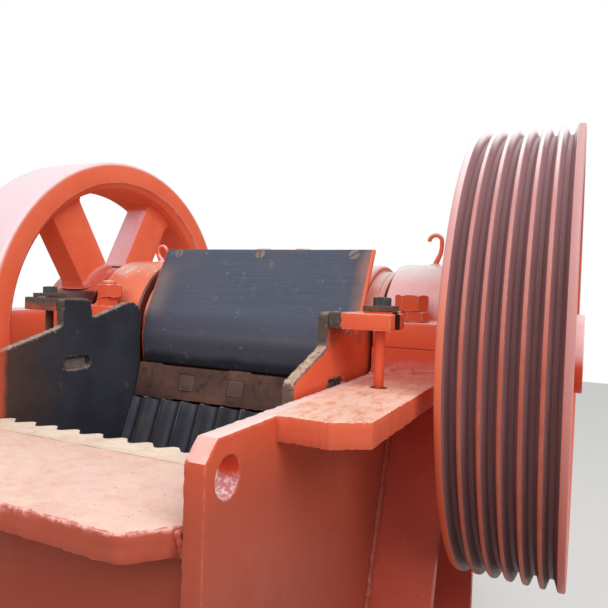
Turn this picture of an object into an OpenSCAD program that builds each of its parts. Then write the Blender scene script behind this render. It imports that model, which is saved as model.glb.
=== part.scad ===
// Single-toggle jaw crusher: a welded box frame, a swing jaw hung on an eccentric shaft,
// a plain spoked flywheel on the left shaft end and a grooved belt pulley on the right one.
// The shaft lies along X. The feed mouth opens upward, between the fixed jaw at the front (-Y)
// and the swing jaw behind it. The floor is at Z = 0, below the middle of the whole machine.

/* [Feed opening] */
// Clear width of the feed mouth, between the cheek plates
feed_w = 756; // [720:4:800]
// Distance of the fixed jaw's tooth tips ahead of the shaft axis
gape_reach = 724; // [712:2:740]
// Drop of the fixed jaw's top below the shaft axis
jaw_drop = 190; // [180:2:200]
// Lean of the swing jaw's face from the vertical, in degrees
nip = 22.3; // [21:0.1:22.6]
// Length of the moving jaw die
moving_len = 950; // [900:5:960]
// How much shorter the fixed jaw die is
fixed_short = 30; // [20:5:60]
// Height of the fixed jaw's foot above the floor
ledge_rise = 110; // [110:5:200]
// Thickness of both jaw dies over the teeth
die_t = 82; // [74:1:90]
// Spacing of the jaw teeth
tooth_pitch = 70; // [60:2:80]
// Height of the jaw teeth
tooth_h = 26; // [18:1:32]
// Side gap between each die and its cheek plate
die_side_gap = 8; // [6:1:10]

/* [Shaft and bearings] */
// Radius of the shaft in its bearings
shaft_r = 92; // [80:1:100]
// Radius of the eccentric part that carries the swing jaw
eccentric_r = 110; // [106:1:120]
// Throw of the eccentric
throw = 12; // [8:1:14]
// Radial running fit of the shaft in its bores
run_fit = 0.05; // [0.02:0.01:0.1]
// Outer radius of the bearing housings
housing_r = 230; // [222:1:238]
// Length of the bearing housings' feet past their hold-down studs
foot_past = 40; // [38:1:54]
// Rise of the housings' split line above the shaft axis
split_rise = 8; // [0:1:14]
// Rise of the feet's top above the shaft axis
foot_rise = 74; // [66:1:80]
// Rounding of the housings' inner rim
housing_round = 8; // [4:1:30]
// Radius of the bolts that hold the housings down
hold_r = 24; // [20:1:25]
// Wall between those bolts and the housings' round
hold_wall = 2; // [2:0.5:4]
// Side distance of those bolts from the middle plane
hold_x = 508; // [495:1:530]
// Thickness of the bearing end covers
cover_t = 20; // [14:1:26]
// Radius of the bearing end covers
cover_r = 178; // [150:2:200]
// Thickness of the bar of the lifting hooks
hook_d = 12.5; // [9:0.5:14]

/* [Wheels] */
// Outer radius of the flywheel and of the pulley
wheel_r = 590; // [560:5:600]
// Width of both wheel rims
rim_w = 246; // [242:1:250]
// Distance of the wheel rims' inner edge from the middle plane
wheel_x = 640; // [636:1:650]
// Thickness of the wheel rims in the middle of their width
rim_t = 102; // [84:1:108]
// Size of the bevels inside the wheel rims
rim_cut = 26; // [10:1:30]
// Number of spokes on each wheel
spokes = 6; // [5:1:7]
// Width of a spoke
spoke_w = 140; // [110:2:150]
// Thickness of a spoke along the shaft
spoke_t = 106; // [80:2:120]
// Radius of the wheel hubs
hub_r = 205; // [180:5:220]
// Number of belt grooves on the pulley
grooves = 6; // [4:1:6]
// Spacing of the belt grooves
groove_pitch = 37; // [35:0.5:38]
// Depth of the belt grooves
groove_h = 26; // [18:1:32]
// Width of a belt groove at its mouth
groove_w = 26; // [22:1:29]
// Rounding of the wheel rims' corners
rim_round = 12; // [6:1:16]
// Radius of the locking rings on the shaft ends
lock_r = 104; // [103:1:120]
// Reach of the locking rings past the rims
lock_t = 16; // [10:1:20]

/* [Frame] */
// Thickness of the side plates
side_t = 36; // [30:1:45]
// Drop of the side plates' top edge below the shaft axis
top_drop = 58; // [50:1:66]
// Reach of the side plates ahead of the shaft axis
front_reach = 1075; // [1060:5:1085]
// Reach of the side plates behind the shaft axis
rear_reach = 480; // [460:5:520]
// Cut of the side plates' top front corner
corner_cut = 30; // [20:1:40]
// Radius of the lifting holes
lift_r = 31; // [25:1:36]
// Distance of the lifting holes behind the side plates' front edge
lift_back = 58; // [50:1:80]
// Depth of the lifting holes below the side plates' top edge
lift_down = 62; // [55:1:90]
// Thickness of the front and rear walls
wall_t = 50; // [40:1:60]
// Thickness of the front flange
flange_t = 44; // [36:1:50]
// Reach of the front flange ahead of the shaft axis
flange_reach = 1130; // [1110:5:1150]
// Width of the side flanges
side_flange_w = 154; // [140:1:160]
// Thickness of the side flanges
side_flange_t = 45; // [38:1:50]
// Thickness of the stiffening ribs
rib_t = 30; // [24:1:36]
// Lean of the front ribs from the vertical, in degrees
rib_lean = 18.6; // [14:0.2:20]
// Thickness of the base flanges
base_t = 40; // [30:1:50]
// Radius of the holes for the holding-down bolts
anchor_r = 18; // [14:1:22]
// Side distance of the holding-down bolts from the middle plane
anchor_x = 560; // [540:1:570]

/* [Cheek plates] */
// Thickness of the cheek plates
cheek_t = 25; // [20:1:30]
// Thickness of the packing between a cheek plate and its side plate
packing_t = 11; // [8:1:14]
// Reach of the clamping arm past the side plate's outer face
arm_reach = 92; // [88:1:98]
// Thickness of the clamping arm
arm_t = 35; // [30:1:38]
// Rise of the clamping arm's top above the shaft axis
arm_rise = 102; // [96:1:108]
// Radius of the clamping stud
stud_r = 11; // [10:1:15]
// Side distance of the right clamping stud from the side plate's outer face
stud_off = 54; // [46:1:56]
// How much nearer to the side plate the left clamping stud stands
stud_in = 18; // [0:1:20]
// How much further forward the left cheek plate goes than the right one
cheek_more = 40; // [0:1:44]
// Width of the square washer plates
washer_w = 66; // [60:1:68]

/* [Swing jaw] */
// Half width of the swing jaw's head
head_half = 352; // [344:1:360]
// Radius of the swing jaw's head
head_r = 238; // [232:1:240]
// Radius of the seal barrels on both ends of the head
seal_r = 220; // [210:1:224]
// Thickness of the deflector plate
deflector_t = 12; // [8:1:14]
// Half width of the deflector plate
deflector_half = 362; // [350:1:364]
// Width of the toggle plate
toggle_w = 560; // [480:10:620]
// Thickness of the toggle plate
toggle_t = 44; // [36:1:50]
// Rear reach of the tension rod behind the shaft axis
rod_reach = 740; // [720:5:760]
// Radius of the tension rod
rod_r = 18; // [14:1:20]
// Clearance kept between moving and standing pieces
clear = 6; // [5:1:8]

/* [Hidden] */
$fn = 96;
fit = 0.3;

// The shaft axis lies behind the middle of the machine, so that the origin is central.
// Its height follows from the fixed jaw, which stands on a ledge above the floor.
shaft_y = (flange_reach - rod_reach) / 2;
fixed_len = moving_len - fixed_short;
shaft_h = jaw_drop + fixed_len + ledge_rise;
floor_z = -shaft_h;

// Places ahead of and behind the shaft axis.
hold_y = housing_r + hold_r + hold_wall;
foot_reach = hold_y + foot_past;
flange_rear = foot_reach + 40;

// Places across the machine, from the middle plane outward.
cheek_in = feed_w / 2;
cheek_out = cheek_in + cheek_t;
plate_in = cheek_out + packing_t;
plate_out = plate_in + side_t;
flange_out = plate_out + side_flange_w;
housing_in = plate_in - 4;
housing_out = flange_out;
seal_end = housing_in - 10;
die_half = cheek_in - die_side_gap;
fixed_half = cheek_in - 3;
wheel_out = wheel_x + rim_w;
shaft_end = wheel_out + 6;

// The swing jaw's tooth-tip line starts at jaw_y, jaw_z and leans forward as it goes down.
jaw_y = -294;
jaw_z = -198;
seat_gap = 0.1;
back_y = jaw_y + (die_t + seat_gap) * cos(nip);
back_z = jaw_z - (die_t + seat_gap) * sin(nip);
jaw_foot_y = jaw_y - moving_len * sin(nip);
jaw_foot_z = jaw_z - moving_len * cos(nip);

// The swing jaw's front seat for the wedge bar, and its lower rear corner.
neck_y = -212;
neck_low = back_z - (back_y - neck_y) / tan(nip);
foot_thick = 150;
lower_back_y = back_y - moving_len * sin(nip);
lower_back_z = back_z - moving_len * cos(nip);

// The toggle plate runs from the swing jaw's seat back and up to the toggle block.
nose_r = toggle_t / 2;
toggle_front_y = lower_back_y + 249;
toggle_front_z = lower_back_z + 158;
toggle_rear_y = rear_reach - 245;
toggle_rear_z = toggle_front_z + 90;
seat_y = toggle_front_y - 70;
seat_wall = 20;
block_half = 90;
seat_top = toggle_front_z + nose_r + clear;
seat_low = toggle_front_z - nose_r - 2 * throw - clear;
seat_bottom_y = toggle_front_y - nose_r - throw - clear;

// The tension rod's eye stands around a pin below the toggle seat, with room for the throw.
pin_r = 20;
pin_y = toggle_front_y - 5;
pin_z = toggle_front_z - 175;
lug_back = pin_y - 105;
rod_z = pin_z + throw;
eye_hole_r = pin_r + throw + clear;
eye_r = eye_hole_r + 24;
eye_half = 20;
spring_r = 52;
spring_wire = 9;
spring_turns = 7;

rib_y = -sqrt(pow(housing_r, 2) - pow(top_drop + side_flange_t, 2)) - 2;
front_wall_y = -gape_reach - die_t;
flange_top = -jaw_drop + 5;
ledge_top = -jaw_drop - fixed_len;
arm_front = -562;
arm_rear = -457;
stud_y = (arm_front + arm_rear) / 2;
slot_half = stud_r + 4;
function stud_x(side) = plate_out + stud_off - (side < 0 ? stud_in : 0);
washer_t = 12;
nut_h = 18;
lower_nut_h = 27;
upper_nut_h = 42;

// Everything is drawn around the shaft axis and then set at its height above the floor.
module placed() translate([0, shaft_y, shaft_h]) children();

// What is drawn for the right side is mirrored for the left side.
module on_side(side) placed() mirror([side < 0 ? 1 : 0, 0, 0]) children();

// Extrudes an outline drawn in Y and Z along X, from x0 over a width.
module across(x0, width) translate([x0, 0, 0]) rotate([90, 0, 90]) linear_extrude(width) children();

// A straight cylinder along X, from x0 over a width.
module round_x(x0, width, r) translate([x0, 0, 0]) rotate([0, 90, 0]) cylinder(h = width, r = r);

// Turns a profile, drawn as radius and distance along the shaft, around the shaft axis.
module turned_x(x0) translate([x0, 0, 0]) rotate([0, 90, 0]) rotate_extrude() children();

module side_outline() polygon([
    [-front_reach, floor_z],
    [-front_reach, -top_drop - corner_cut],
    [-front_reach + corner_cut, -top_drop],
    [flange_rear, -top_drop],
    [rear_reach, -top_drop - 330],
    [rear_reach, floor_z]
]);

module side_plate(side) color("orangered") on_side(side) difference() {
    across(plate_in, side_t) side_outline();
    round_x(plate_in - 1, side_t + 2, housing_r + fit);
    translate([0, -front_reach + lift_back, -top_drop - lift_down])
        round_x(plate_in - 1, side_t + 2, lift_r);
}

module front_wall() color("firebrick") placed() {
    wall_h = flange_top - flange_t - floor_z;
    translate([-plate_in, front_wall_y - wall_t, floor_z]) cube([2 * plate_in, wall_t, wall_h]);
    translate([-plate_in, front_wall_y, ledge_top - 60]) cube([2 * plate_in, die_t - 10, 60]);
}

module front_panel() color("firebrick") placed() {
    panel_t = 20;
    panel_h = flange_top - flange_t - floor_z;
    translate([-plate_in, -front_reach + 25, floor_z]) cube([2 * plate_in, panel_t, panel_h]);
}

module front_flange() color("salmon") placed() {
    translate([0, 0, flange_top - flange_t]) linear_extrude(flange_t) polygon([
        [-plate_in, front_wall_y], [-plate_in, -front_reach + 24], [-plate_in + 31, -flange_reach + 36],
        [-plate_in + 66, -flange_reach], [plate_in - 66, -flange_reach],
        [plate_in - 31, -flange_reach + 36], [plate_in, -front_reach + 24], [plate_in, front_wall_y]
    ]);
}

module side_flange(side) color("salmon") on_side(side) difference() {
    translate([0, 0, -top_drop - side_flange_t]) linear_extrude(side_flange_t) polygon([
        [plate_out, -881], [plate_out + 49, -868], [flange_out - 56, -872],
        [flange_out - 29, -857], [flange_out - 1, -833], [flange_out, -450], [flange_out, flange_rear - 36],
        [flange_out - 40, flange_rear], [plate_out, flange_rear]
    ]);
    round_x(plate_in, 2 * side_flange_w, housing_r + fit);
    translate([stud_x(side), stud_y, -top_drop - side_flange_t - 1])
        cylinder(h = side_flange_t + 2, r = stud_r + 6);
}

// The front rib leans forward as it goes down; the rear rib stands upright.
module front_rib(side) color("orangered") on_side(side) {
    rib_top = -top_drop - side_flange_t;
    rib_foot = floor_z + base_t;
    run = (rib_top - rib_foot) * tan(rib_lean);
    thick = rib_t / cos(rib_lean);
    difference() {
        across(plate_out, side_flange_w) polygon([
            [rib_y, rib_top], [rib_y - run, rib_foot], [rib_y - run + thick, rib_foot],
            [rib_y + thick, rib_top]
        ]);
        round_x(plate_in, 2 * side_flange_w, housing_r + fit);
    }
}

module rear_rib(side) color("orangered") on_side(side) {
    rib_h = shaft_h - base_t - top_drop - side_flange_t;
    translate([plate_out, housing_r, floor_z + base_t]) cube([side_flange_w, rib_t, rib_h]);
}

anchor_front = -front_reach + 90;
anchor_rear = rear_reach - 70;
anchor_places = [anchor_front, anchor_front + 250, anchor_rear - 250, anchor_rear];
module base_flange(side) color("orangered") on_side(side) difference() {
    translate([plate_out, -front_reach, floor_z])
        cube([side_flange_w, front_reach + rear_reach, base_t]);
    for (y = anchor_places)
        translate([anchor_x, y, floor_z - 1]) cylinder(h = base_t + 2, r = anchor_r);
}

module rear_wall() color("firebrick") placed() difference() {
    translate([-plate_in, rear_reach - wall_t, floor_z])
        cube([2 * plate_in, wall_t, shaft_h - top_drop - 340]);
    translate([0, rear_reach - wall_t - 1, rod_z]) rotate([-90, 0, 0])
        cylinder(h = wall_t + 2, r = rod_r + clear);
}

module toggle_block() color("dimgray") placed() difference() {
    translate([-plate_in, toggle_rear_y, toggle_rear_z - block_half])
        cube([2 * plate_in, rear_reach - wall_t - toggle_rear_y, 2 * block_half]);
    translate([0, toggle_rear_y, toggle_rear_z]) round_x(-toggle_w / 2 - 10, toggle_w + 20, nose_r + fit);
}

toggle_len = norm([toggle_rear_y - toggle_front_y, toggle_rear_z - toggle_front_z]);
toggle_rise = atan2(toggle_rear_z - toggle_front_z, toggle_rear_y - toggle_front_y);
module toggle_plate() color("dimgray") placed()
    translate([-toggle_w / 2, toggle_front_y, toggle_front_z]) rotate([toggle_rise, 0, 0]) {
        translate([0, 0, -nose_r]) cube([toggle_w, toggle_len, toggle_t]);
        rotate([0, 90, 0]) cylinder(h = toggle_w, r = nose_r);
        translate([0, toggle_len, 0]) rotate([0, 90, 0]) cylinder(h = toggle_w, r = nose_r);
    }

// The rod's eye at the front, the rod through the rear wall, and a nut behind the spring.
module tension_rod() color("gray") placed() {
    translate([0, 0, rod_z]) {
        difference() {
            union() {
                translate([0, pin_y, 0]) round_x(-eye_half, 2 * eye_half, eye_r);
                translate([0, pin_y + eye_hole_r + 4, 0]) rotate([-90, 0, 0])
                    cylinder(h = rod_reach - pin_y - eye_hole_r - 4, r = rod_r);
            }
            translate([0, pin_y, 0]) round_x(-eye_half - 1, 2 * eye_half + 2, eye_hole_r);
        }
        translate([0, rod_reach - 60, 0]) rotate([-90, 0, 0]) cylinder(h = 36, r = 32, $fn = 6);
        translate([0, rod_reach - 76, 0]) rotate([-90, 0, 0]) cylinder(h = 16, r = spring_r + 10);
    }
}

// A stack of rings stands for the coils, joined by a thin sleeve inside them.
spring_len = rod_reach - 76 - rear_reach;
module tension_spring() color("gray") placed() translate([0, rear_reach, rod_z]) rotate([-90, 0, 0]) {
    step = (spring_len - 2 * spring_wire) / (spring_turns - 1);
    difference() {
        cylinder(h = spring_len, r = spring_r - spring_wire + 3);
        translate([0, 0, -1]) cylinder(h = spring_len + 2, r = spring_r - 2 * spring_wire + 2);
    }
    for (i = [0 : spring_turns - 1])
        translate([0, 0, spring_wire + i * step]) rotate_extrude()
            translate([spring_r - spring_wire, 0]) circle(r = spring_wire, $fn = 24);
}

module bearing_pad(side) color("orangered") on_side(side) difference() {
    translate([plate_in, -foot_reach, -top_drop])
        cube([flange_out - plate_in, 2 * foot_reach, top_drop + split_rise]);
    round_x(plate_in - 1, flange_out, housing_r + fit);
    hold_holes();
}

// The holes of the studs that hold a bearing housing down, ahead of and behind the shaft.
module hold_holes() for (y = [-hold_y, hold_y])
    translate([hold_x, y, -top_drop - 1]) cylinder(h = top_drop + foot_rise + 60, r = hold_r + 1);

module bearing_housing(side) color("orangered") on_side(side) difference() {
    union() {
        turned_x(housing_in) polygon(concat(
            [[0, 0], [housing_r - housing_round, 0]],
            [for (a = [15 : 15 : 90]) [housing_r - housing_round * (1 - sin(a)), housing_round * (1 - cos(a))]],
            [[housing_r, housing_out - housing_in], [0, housing_out - housing_in]]));
        translate([plate_in, -foot_reach, split_rise])
            cube([flange_out - plate_in, 2 * foot_reach, foot_rise - split_rise]);
    }
    round_x(housing_in - 1, flange_out, shaft_r + run_fit);
    hold_holes();
}

module bearing_cover(side) color("orangered") on_side(side) difference() {
    union() {
        round_x(housing_out, cover_t / 2, cover_r);
        round_x(housing_out, cover_t, cover_r - 30);
    }
    round_x(housing_out - 1, cover_t + 2, shaft_r + 2);
}

// Each stud carries a thin nut and a thick nut, turned a little against each other.
module housing_bolts(side) color("orangered") on_side(side) for (y = [-hold_y, hold_y])
    translate([hold_x, y, 0]) {
        translate([0, 0, -top_drop]) cylinder(h = top_drop + foot_rise + lower_nut_h + upper_nut_h + 6, r = hold_r);
        translate([0, 0, foot_rise]) rotate(22) cylinder(h = lower_nut_h, r = 36, $fn = 6);
        translate([0, 0, foot_rise + lower_nut_h]) rotate(10)
            cylinder(h = upper_nut_h, r = 43, $fn = 6);
    }

// A bar stands on the housing and bends over toward the middle of the machine. The left one is short.
module lifting_hook(side) color("orangered") on_side(side) {
    bend_r = 18.5;
    bend_x = 499;
    bend_z = housing_r + (side < 0 ? 38 : 69);
    foot_x = 506;
    lean = atan2(bend_x + bend_r - foot_x, bend_z - housing_r);
    stem = norm([bend_x + bend_r - foot_x, bend_z - housing_r]);
    difference() {
        union() {
            translate([foot_x, 0, housing_r - 4]) cylinder(h = 10, r = hook_d);
            translate([foot_x, 0, housing_r]) rotate([0, lean, 0]) cylinder(h = stem, r = hook_d / 2);
            translate([bend_x, 0, bend_z]) rotate([90, 0, 0]) rotate_extrude(angle = 180)
                translate([bend_r, 0]) circle(r = hook_d / 2, $fn = 24);
            translate([bend_x + bend_r, 0, bend_z]) sphere(r = hook_d / 2 + 0.6);
        }
        round_x(bend_x - 100, 200, housing_r + 0.01);
    }
}

// The outline of a jaw die: rounded teeth on the front, a flat back.
module die_outline(half, phase) {
    count = 8 * round(2 * half / tooth_pitch);
    polygon(concat(
        [for (i = [0 : count])
            let (x = -half + i * 2 * half / count)
            [x, tooth_h / 2 * (1 - cos(360 * x / tooth_pitch + phase))]],
        [[half, die_t], [-half, die_t]]));
}

module fixed_jaw() color("tan") placed()
    translate([0, -gape_reach, ledge_top]) mirror([0, 1, 0])
        linear_extrude(fixed_len) die_outline(fixed_half, 0);

module moving_jaw() color("darkslategray") placed()
    translate([0, jaw_foot_y, jaw_foot_z]) rotate([-nip, 0, 0])
        linear_extrude(moving_len) die_outline(die_half, 180);

// The cheek plate lines the chamber, and its lug and arm carry the clamp over the side plate.
cheek_low = ledge_top;
function cheek_nose(side) = -gape_reach + 2 - (side < 0 ? cheek_more : 0);

module cheek_outline(side) polygon([
    [cheek_nose(side), -30], [-557, 28], [arm_front, 34], [arm_front, arm_rise],
    [arm_rear - 12, arm_rise], [arm_rear - 3, arm_rise - 4], [arm_rear, arm_rise - 12], [-450, 48],
    [-310, 90], [-290, 92], [-272, 88], [-264, 83], [-252, 68], [-246, 50],
    [-246, -330], [jaw_foot_y + 110, cheek_low], [cheek_nose(side), cheek_low]
]);

module cheek_plate(side) color("dimgray") on_side(side) difference() {
    union() {
        across(cheek_in, cheek_t) cheek_outline(side);
        across(cheek_out, packing_t) polygon([
            [cheek_nose(side), -top_drop - 60], [-246, -top_drop - 60], [-246, -330],
            [jaw_foot_y + 110, cheek_low], [cheek_nose(side), cheek_low]
        ]);
        translate([cheek_out, arm_front, arm_rise - arm_t])
            cube([plate_out + arm_reach - cheek_out, arm_rear - arm_front, arm_t]);
    }
    translate([stud_x(side) - slot_half, stud_y - slot_half, arm_rise - arm_t - 1])
        cube([arm_reach + 40, 2 * slot_half, arm_t + 2]);
    translate([0, 0, side < 0 ? -78 : -68]) across(cheek_in - 1, cheek_t + 2) slot_outline();
}

// A long slot with round ends through the cheek plate. The right one sits a little higher.
module slot_outline() {
    slot_r = 17;
    for (y = [-554 + slot_r, -457 - slot_r]) translate([y, 0]) circle(r = slot_r);
    translate([-554 + slot_r, -slot_r]) square([97 - 2 * slot_r, 2 * slot_r]);
}

// Stud through the side flange, a nut below the flange, a washer plate and a nut on the arm.
module cheek_clamp(side) color("dimgray") on_side(side) translate([stud_x(side), stud_y, 0]) {
    stud_low = -top_drop - side_flange_t - 50;
    translate([0, 0, stud_low]) cylinder(h = arm_rise + washer_t + nut_h + 1 - stud_low, r = stud_r);
    translate([0, 0, -top_drop - side_flange_t - 28]) cylinder(h = 28, r = 26, $fn = 6);
    translate([-washer_w / 2, -washer_w / 2, arm_rise]) cube([washer_w, washer_w, washer_t]);
    translate([0, 0, arm_rise + washer_t]) cylinder(h = nut_h, r = 20, $fn = 6);
}

module eccentric_shaft() color("silver") placed() {
    round_x(-shaft_end, 2 * shaft_end, shaft_r);
    translate([0, 0, -throw]) round_x(-seal_end, 2 * seal_end, eccentric_r);
}

// Hub and spokes of a wheel, drawn for the right side and centred along the rim.
module wheel_spider(side) on_side(side) {
    spoke_x = wheel_x + (rim_w - spoke_t) / 2;
    round_x(wheel_x + 10, rim_w - 20, hub_r);
    for (i = [0 : spokes - 1]) rotate([-58 + i * 360 / spokes, 0, 0])
        translate([spoke_x, -wheel_r + rim_t - 6, -spoke_w / 2])
            cube([spoke_t, wheel_r - rim_t - hub_r + 30, spoke_w]);
}

// The inner side of both rims, drawn as radius and distance along the shaft.
rim_inside = [[wheel_r - rim_t + rim_cut, rim_w], [wheel_r - rim_t, rim_w - rim_cut],
              [wheel_r - rim_t, rim_cut], [wheel_r - rim_t + rim_cut, 0]];

module wheel_bore(side) on_side(side) round_x(wheel_x, rim_w + 10, shaft_r + run_fit);

module flywheel() color("orangered") difference() {
    union() {
        on_side(-1) turned_x(wheel_x) polygon(concat(rim_inside, [
            [wheel_r - rim_round, 0], [wheel_r - rim_round * 0.3, rim_round * 0.3],
            [wheel_r, rim_round], [wheel_r, rim_w - rim_round],
            [wheel_r - rim_round * 0.3, rim_w - rim_round * 0.3], [wheel_r - rim_round, rim_w]
        ]));
        wheel_spider(-1);
    }
    wheel_bore(-1);
}

// One groove: slanting flanks and a flat floor, drawn as radius and distance along the shaft.
groove_start = (rim_w - (grooves - 1) * groove_pitch) / 2;
groove_floor = groove_w - 2 * groove_h * tan(17);
module groove_outline(x) polygon([
    [wheel_r + 1, x - groove_w / 2 - 0.3], [wheel_r - groove_h, x - groove_floor / 2],
    [wheel_r - groove_h, x + groove_floor / 2], [wheel_r + 1, x + groove_w / 2 + 0.3]
]);

module pulley() color("sienna") difference() {
    union() {
        on_side(1) turned_x(wheel_x) difference() {
            polygon(concat(rim_inside, [[wheel_r, 0], [wheel_r, rim_w]]));
            for (i = [0 : grooves - 1]) groove_outline(groove_start + i * groove_pitch);
        }
        wheel_spider(1);
    }
    wheel_bore(1);
}

// The locking ring is a cap over the shaft end, and stands against the wheel's hub.
module lock_ring(side) color("orangered") on_side(side) difference() {
    round_x(wheel_out - 10 + fit, lock_t + 10 - fit, lock_r);
    round_x(wheel_out - 11, shaft_end + fit - wheel_out + 11, shaft_r + fit);
}

// The swing jaw: a round head on the eccentric, a body behind the die, and pin lugs at its foot.
module swing_jaw() color("orangered") placed() difference() {
    union() {
        translate([0, 0, -throw]) round_x(-head_half, 2 * head_half, head_r);
        translate([0, 0, -throw]) round_x(-seal_end, 2 * seal_end, seal_r);
        across(-die_half + 8, 2 * die_half - 16) polygon([
            [neck_y, -60],
            [neck_y, neck_low],
            [lower_back_y, lower_back_z],
            [lower_back_y + foot_thick * cos(nip), lower_back_z - foot_thick * sin(nip)],
            [seat_y, toggle_front_z - 70], [seat_y, toggle_front_z + 50], [-130, -420], [170, -150]
        ]);
        across(-head_half + 40, 2 * head_half - 80) polygon([
            [-133, 240], [-174, 172], [-150, 140], [-40, 190], [-80, 240]
        ]);
        for (x = [-eye_half - clear - 24, eye_half + clear])
            across(x, 24) polygon([
                [lug_back, pin_z - 36], [pin_y + 10, pin_z - 36], [pin_y + 30, pin_z],
                [pin_y + 10, pin_z + 36], [lug_back, pin_z + 36]
            ]);
        translate([0, pin_y, pin_z]) round_x(-eye_half - clear - 24, 2 * (eye_half + clear + 24), pin_r);
    }
    translate([0, 0, -throw]) round_x(-seal_end - 1, 2 * seal_end + 2, eccentric_r + run_fit);
}

// The seat is a channel that takes the toggle plate's front edge, with room for the throw.
module toggle_seat() color("dimgray") placed()
    across(-toggle_w / 2 - seat_wall, toggle_w + 2 * seat_wall) polygon([
        [seat_y, seat_low - seat_wall], [toggle_front_y, seat_low - seat_wall],
        [toggle_front_y, seat_low], [seat_bottom_y, seat_low], [seat_bottom_y, seat_top],
        [toggle_front_y, seat_top], [toggle_front_y, seat_top + seat_wall],
        [seat_y, seat_top + seat_wall]
    ]);

module wedge_bar() color("saddlebrown") placed() difference() {
    bar_y = jaw_y + 15;
    bar_top = jaw_z + 99;
    bar_gap = (bar_y - jaw_y) * sin(nip);
    across(-die_half, 2 * die_half) polygon([
        [bar_y + 25, bar_top], [bar_y, jaw_z],
        [back_y + bar_gap * sin(nip), back_z + bar_gap * cos(nip)],
        [neck_y, neck_low], [neck_y, bar_top]
    ]);
    translate([0, 0, -throw]) round_x(-die_half - 1, 2 * die_half + 2, head_r + fit);
}

// The bent deflector plate follows the head's front and flares away above it.
outer_face = [[-142, 266], [-187, 180], [-228, 92], [-244, 58], [-255, 13], [-260, -21],
              [-253, -78], [-248, -97]];
function turn_at(i) = let (
    a = outer_face[max(i - 1, 0)],
    b = outer_face[min(i + 1, len(outer_face) - 1)],
    d = (b - a) / norm(b - a)) [-d[1], d[0]];
module deflector_plate() color("darkslategray") placed()
    across(-deflector_half, 2 * deflector_half) polygon(concat(outer_face,
        [for (i = [len(outer_face) - 1 : -1 : 0]) outer_face[i] + deflector_t * turn_at(i)]));

side_plate(-1);  // side_plate_left
side_plate(1);  // side_plate_right
front_wall();
front_panel();
front_flange();
side_flange(-1);  // side_flange_left
side_flange(1);  // side_flange_right
front_rib(-1);  // front_rib_left
front_rib(1);  // front_rib_right
rear_rib(-1);  // rear_rib_left
rear_rib(1);  // rear_rib_right
base_flange(-1);  // base_flange_left
base_flange(1);  // base_flange_right
rear_wall();
toggle_block();
toggle_plate();
tension_rod();
tension_spring();
bearing_pad(-1);  // bearing_pad_left
bearing_pad(1);  // bearing_pad_right
bearing_housing(-1);  // bearing_housing_left
bearing_housing(1);  // bearing_housing_right
bearing_cover(-1);  // bearing_cover_left
bearing_cover(1);  // bearing_cover_right
housing_bolts(-1);  // housing_bolts_left
housing_bolts(1);  // housing_bolts_right
lifting_hook(-1);  // lifting_hook_left
lifting_hook(1);  // lifting_hook_right
fixed_jaw();
cheek_plate(-1);  // cheek_plate_left
cheek_plate(1);  // cheek_plate_right
cheek_clamp(-1);  // cheek_clamp_left
cheek_clamp(1);  // cheek_clamp_right
eccentric_shaft();
flywheel();
pulley();
lock_ring(-1);  // lock_ring_left
lock_ring(1);  // lock_ring_right
swing_jaw();
moving_jaw();
wedge_bar();
deflector_plate();
toggle_seat();
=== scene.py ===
from math import acos, atan2, cos, hypot, pi, radians, remainder, sin, sqrt, tan

import bmesh
import bpy
from mathutils import Matrix, Vector, geometry, noise


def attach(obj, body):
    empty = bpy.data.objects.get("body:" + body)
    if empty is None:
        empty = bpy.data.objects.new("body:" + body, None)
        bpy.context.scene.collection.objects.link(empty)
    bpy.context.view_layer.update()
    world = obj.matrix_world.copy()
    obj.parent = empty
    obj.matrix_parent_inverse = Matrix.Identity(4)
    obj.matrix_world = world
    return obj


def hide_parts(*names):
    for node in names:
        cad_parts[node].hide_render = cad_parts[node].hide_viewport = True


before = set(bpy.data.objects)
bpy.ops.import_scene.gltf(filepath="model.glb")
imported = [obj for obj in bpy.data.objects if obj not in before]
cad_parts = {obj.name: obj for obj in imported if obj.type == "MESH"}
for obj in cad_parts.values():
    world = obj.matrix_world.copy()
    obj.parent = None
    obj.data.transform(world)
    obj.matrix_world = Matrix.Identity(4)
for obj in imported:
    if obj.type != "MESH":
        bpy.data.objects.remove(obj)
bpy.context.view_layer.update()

# The shaft's axis in the shared frame, the lean of the swing jaw, and the eccentric's throw.
SHAFT_Y, SHAFT_H = 195.0, 1220.0
NIP = radians(22.3)
THROW = 12.0
# The clamp studs, and the side plates' lifting holes.
STUD_Y = -509.5
LIFT_Y, LIFT_Z = -1017.0, -121.0
# The two cast squares on the wedge bar: where they are, and half their width and height.
SQUARE_X, SQUARE_Z, SQUARE_W, SQUARE_H = (-181, -8), -148, 24.5, 21.0
WHEEL_R, GROOVE_PITCH, TOOTH_PITCH = 590.0, 37.0, 70.0
# Points nearer than this are one, in metres.
JOIN = 2e-05
SIDES = (-1.0, "left"), (1.0, "right")


def place(p):
    return Vector((p[0] / 1000, (p[1] + SHAFT_Y) / 1000, (p[2] + SHAFT_H) / 1000))


def wob(x, y, z):
    """Smooth noise from -1 to 1."""
    return noise.noise(Vector((x, y, z)))


# ---------------------------------------------------------------- shapes

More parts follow.
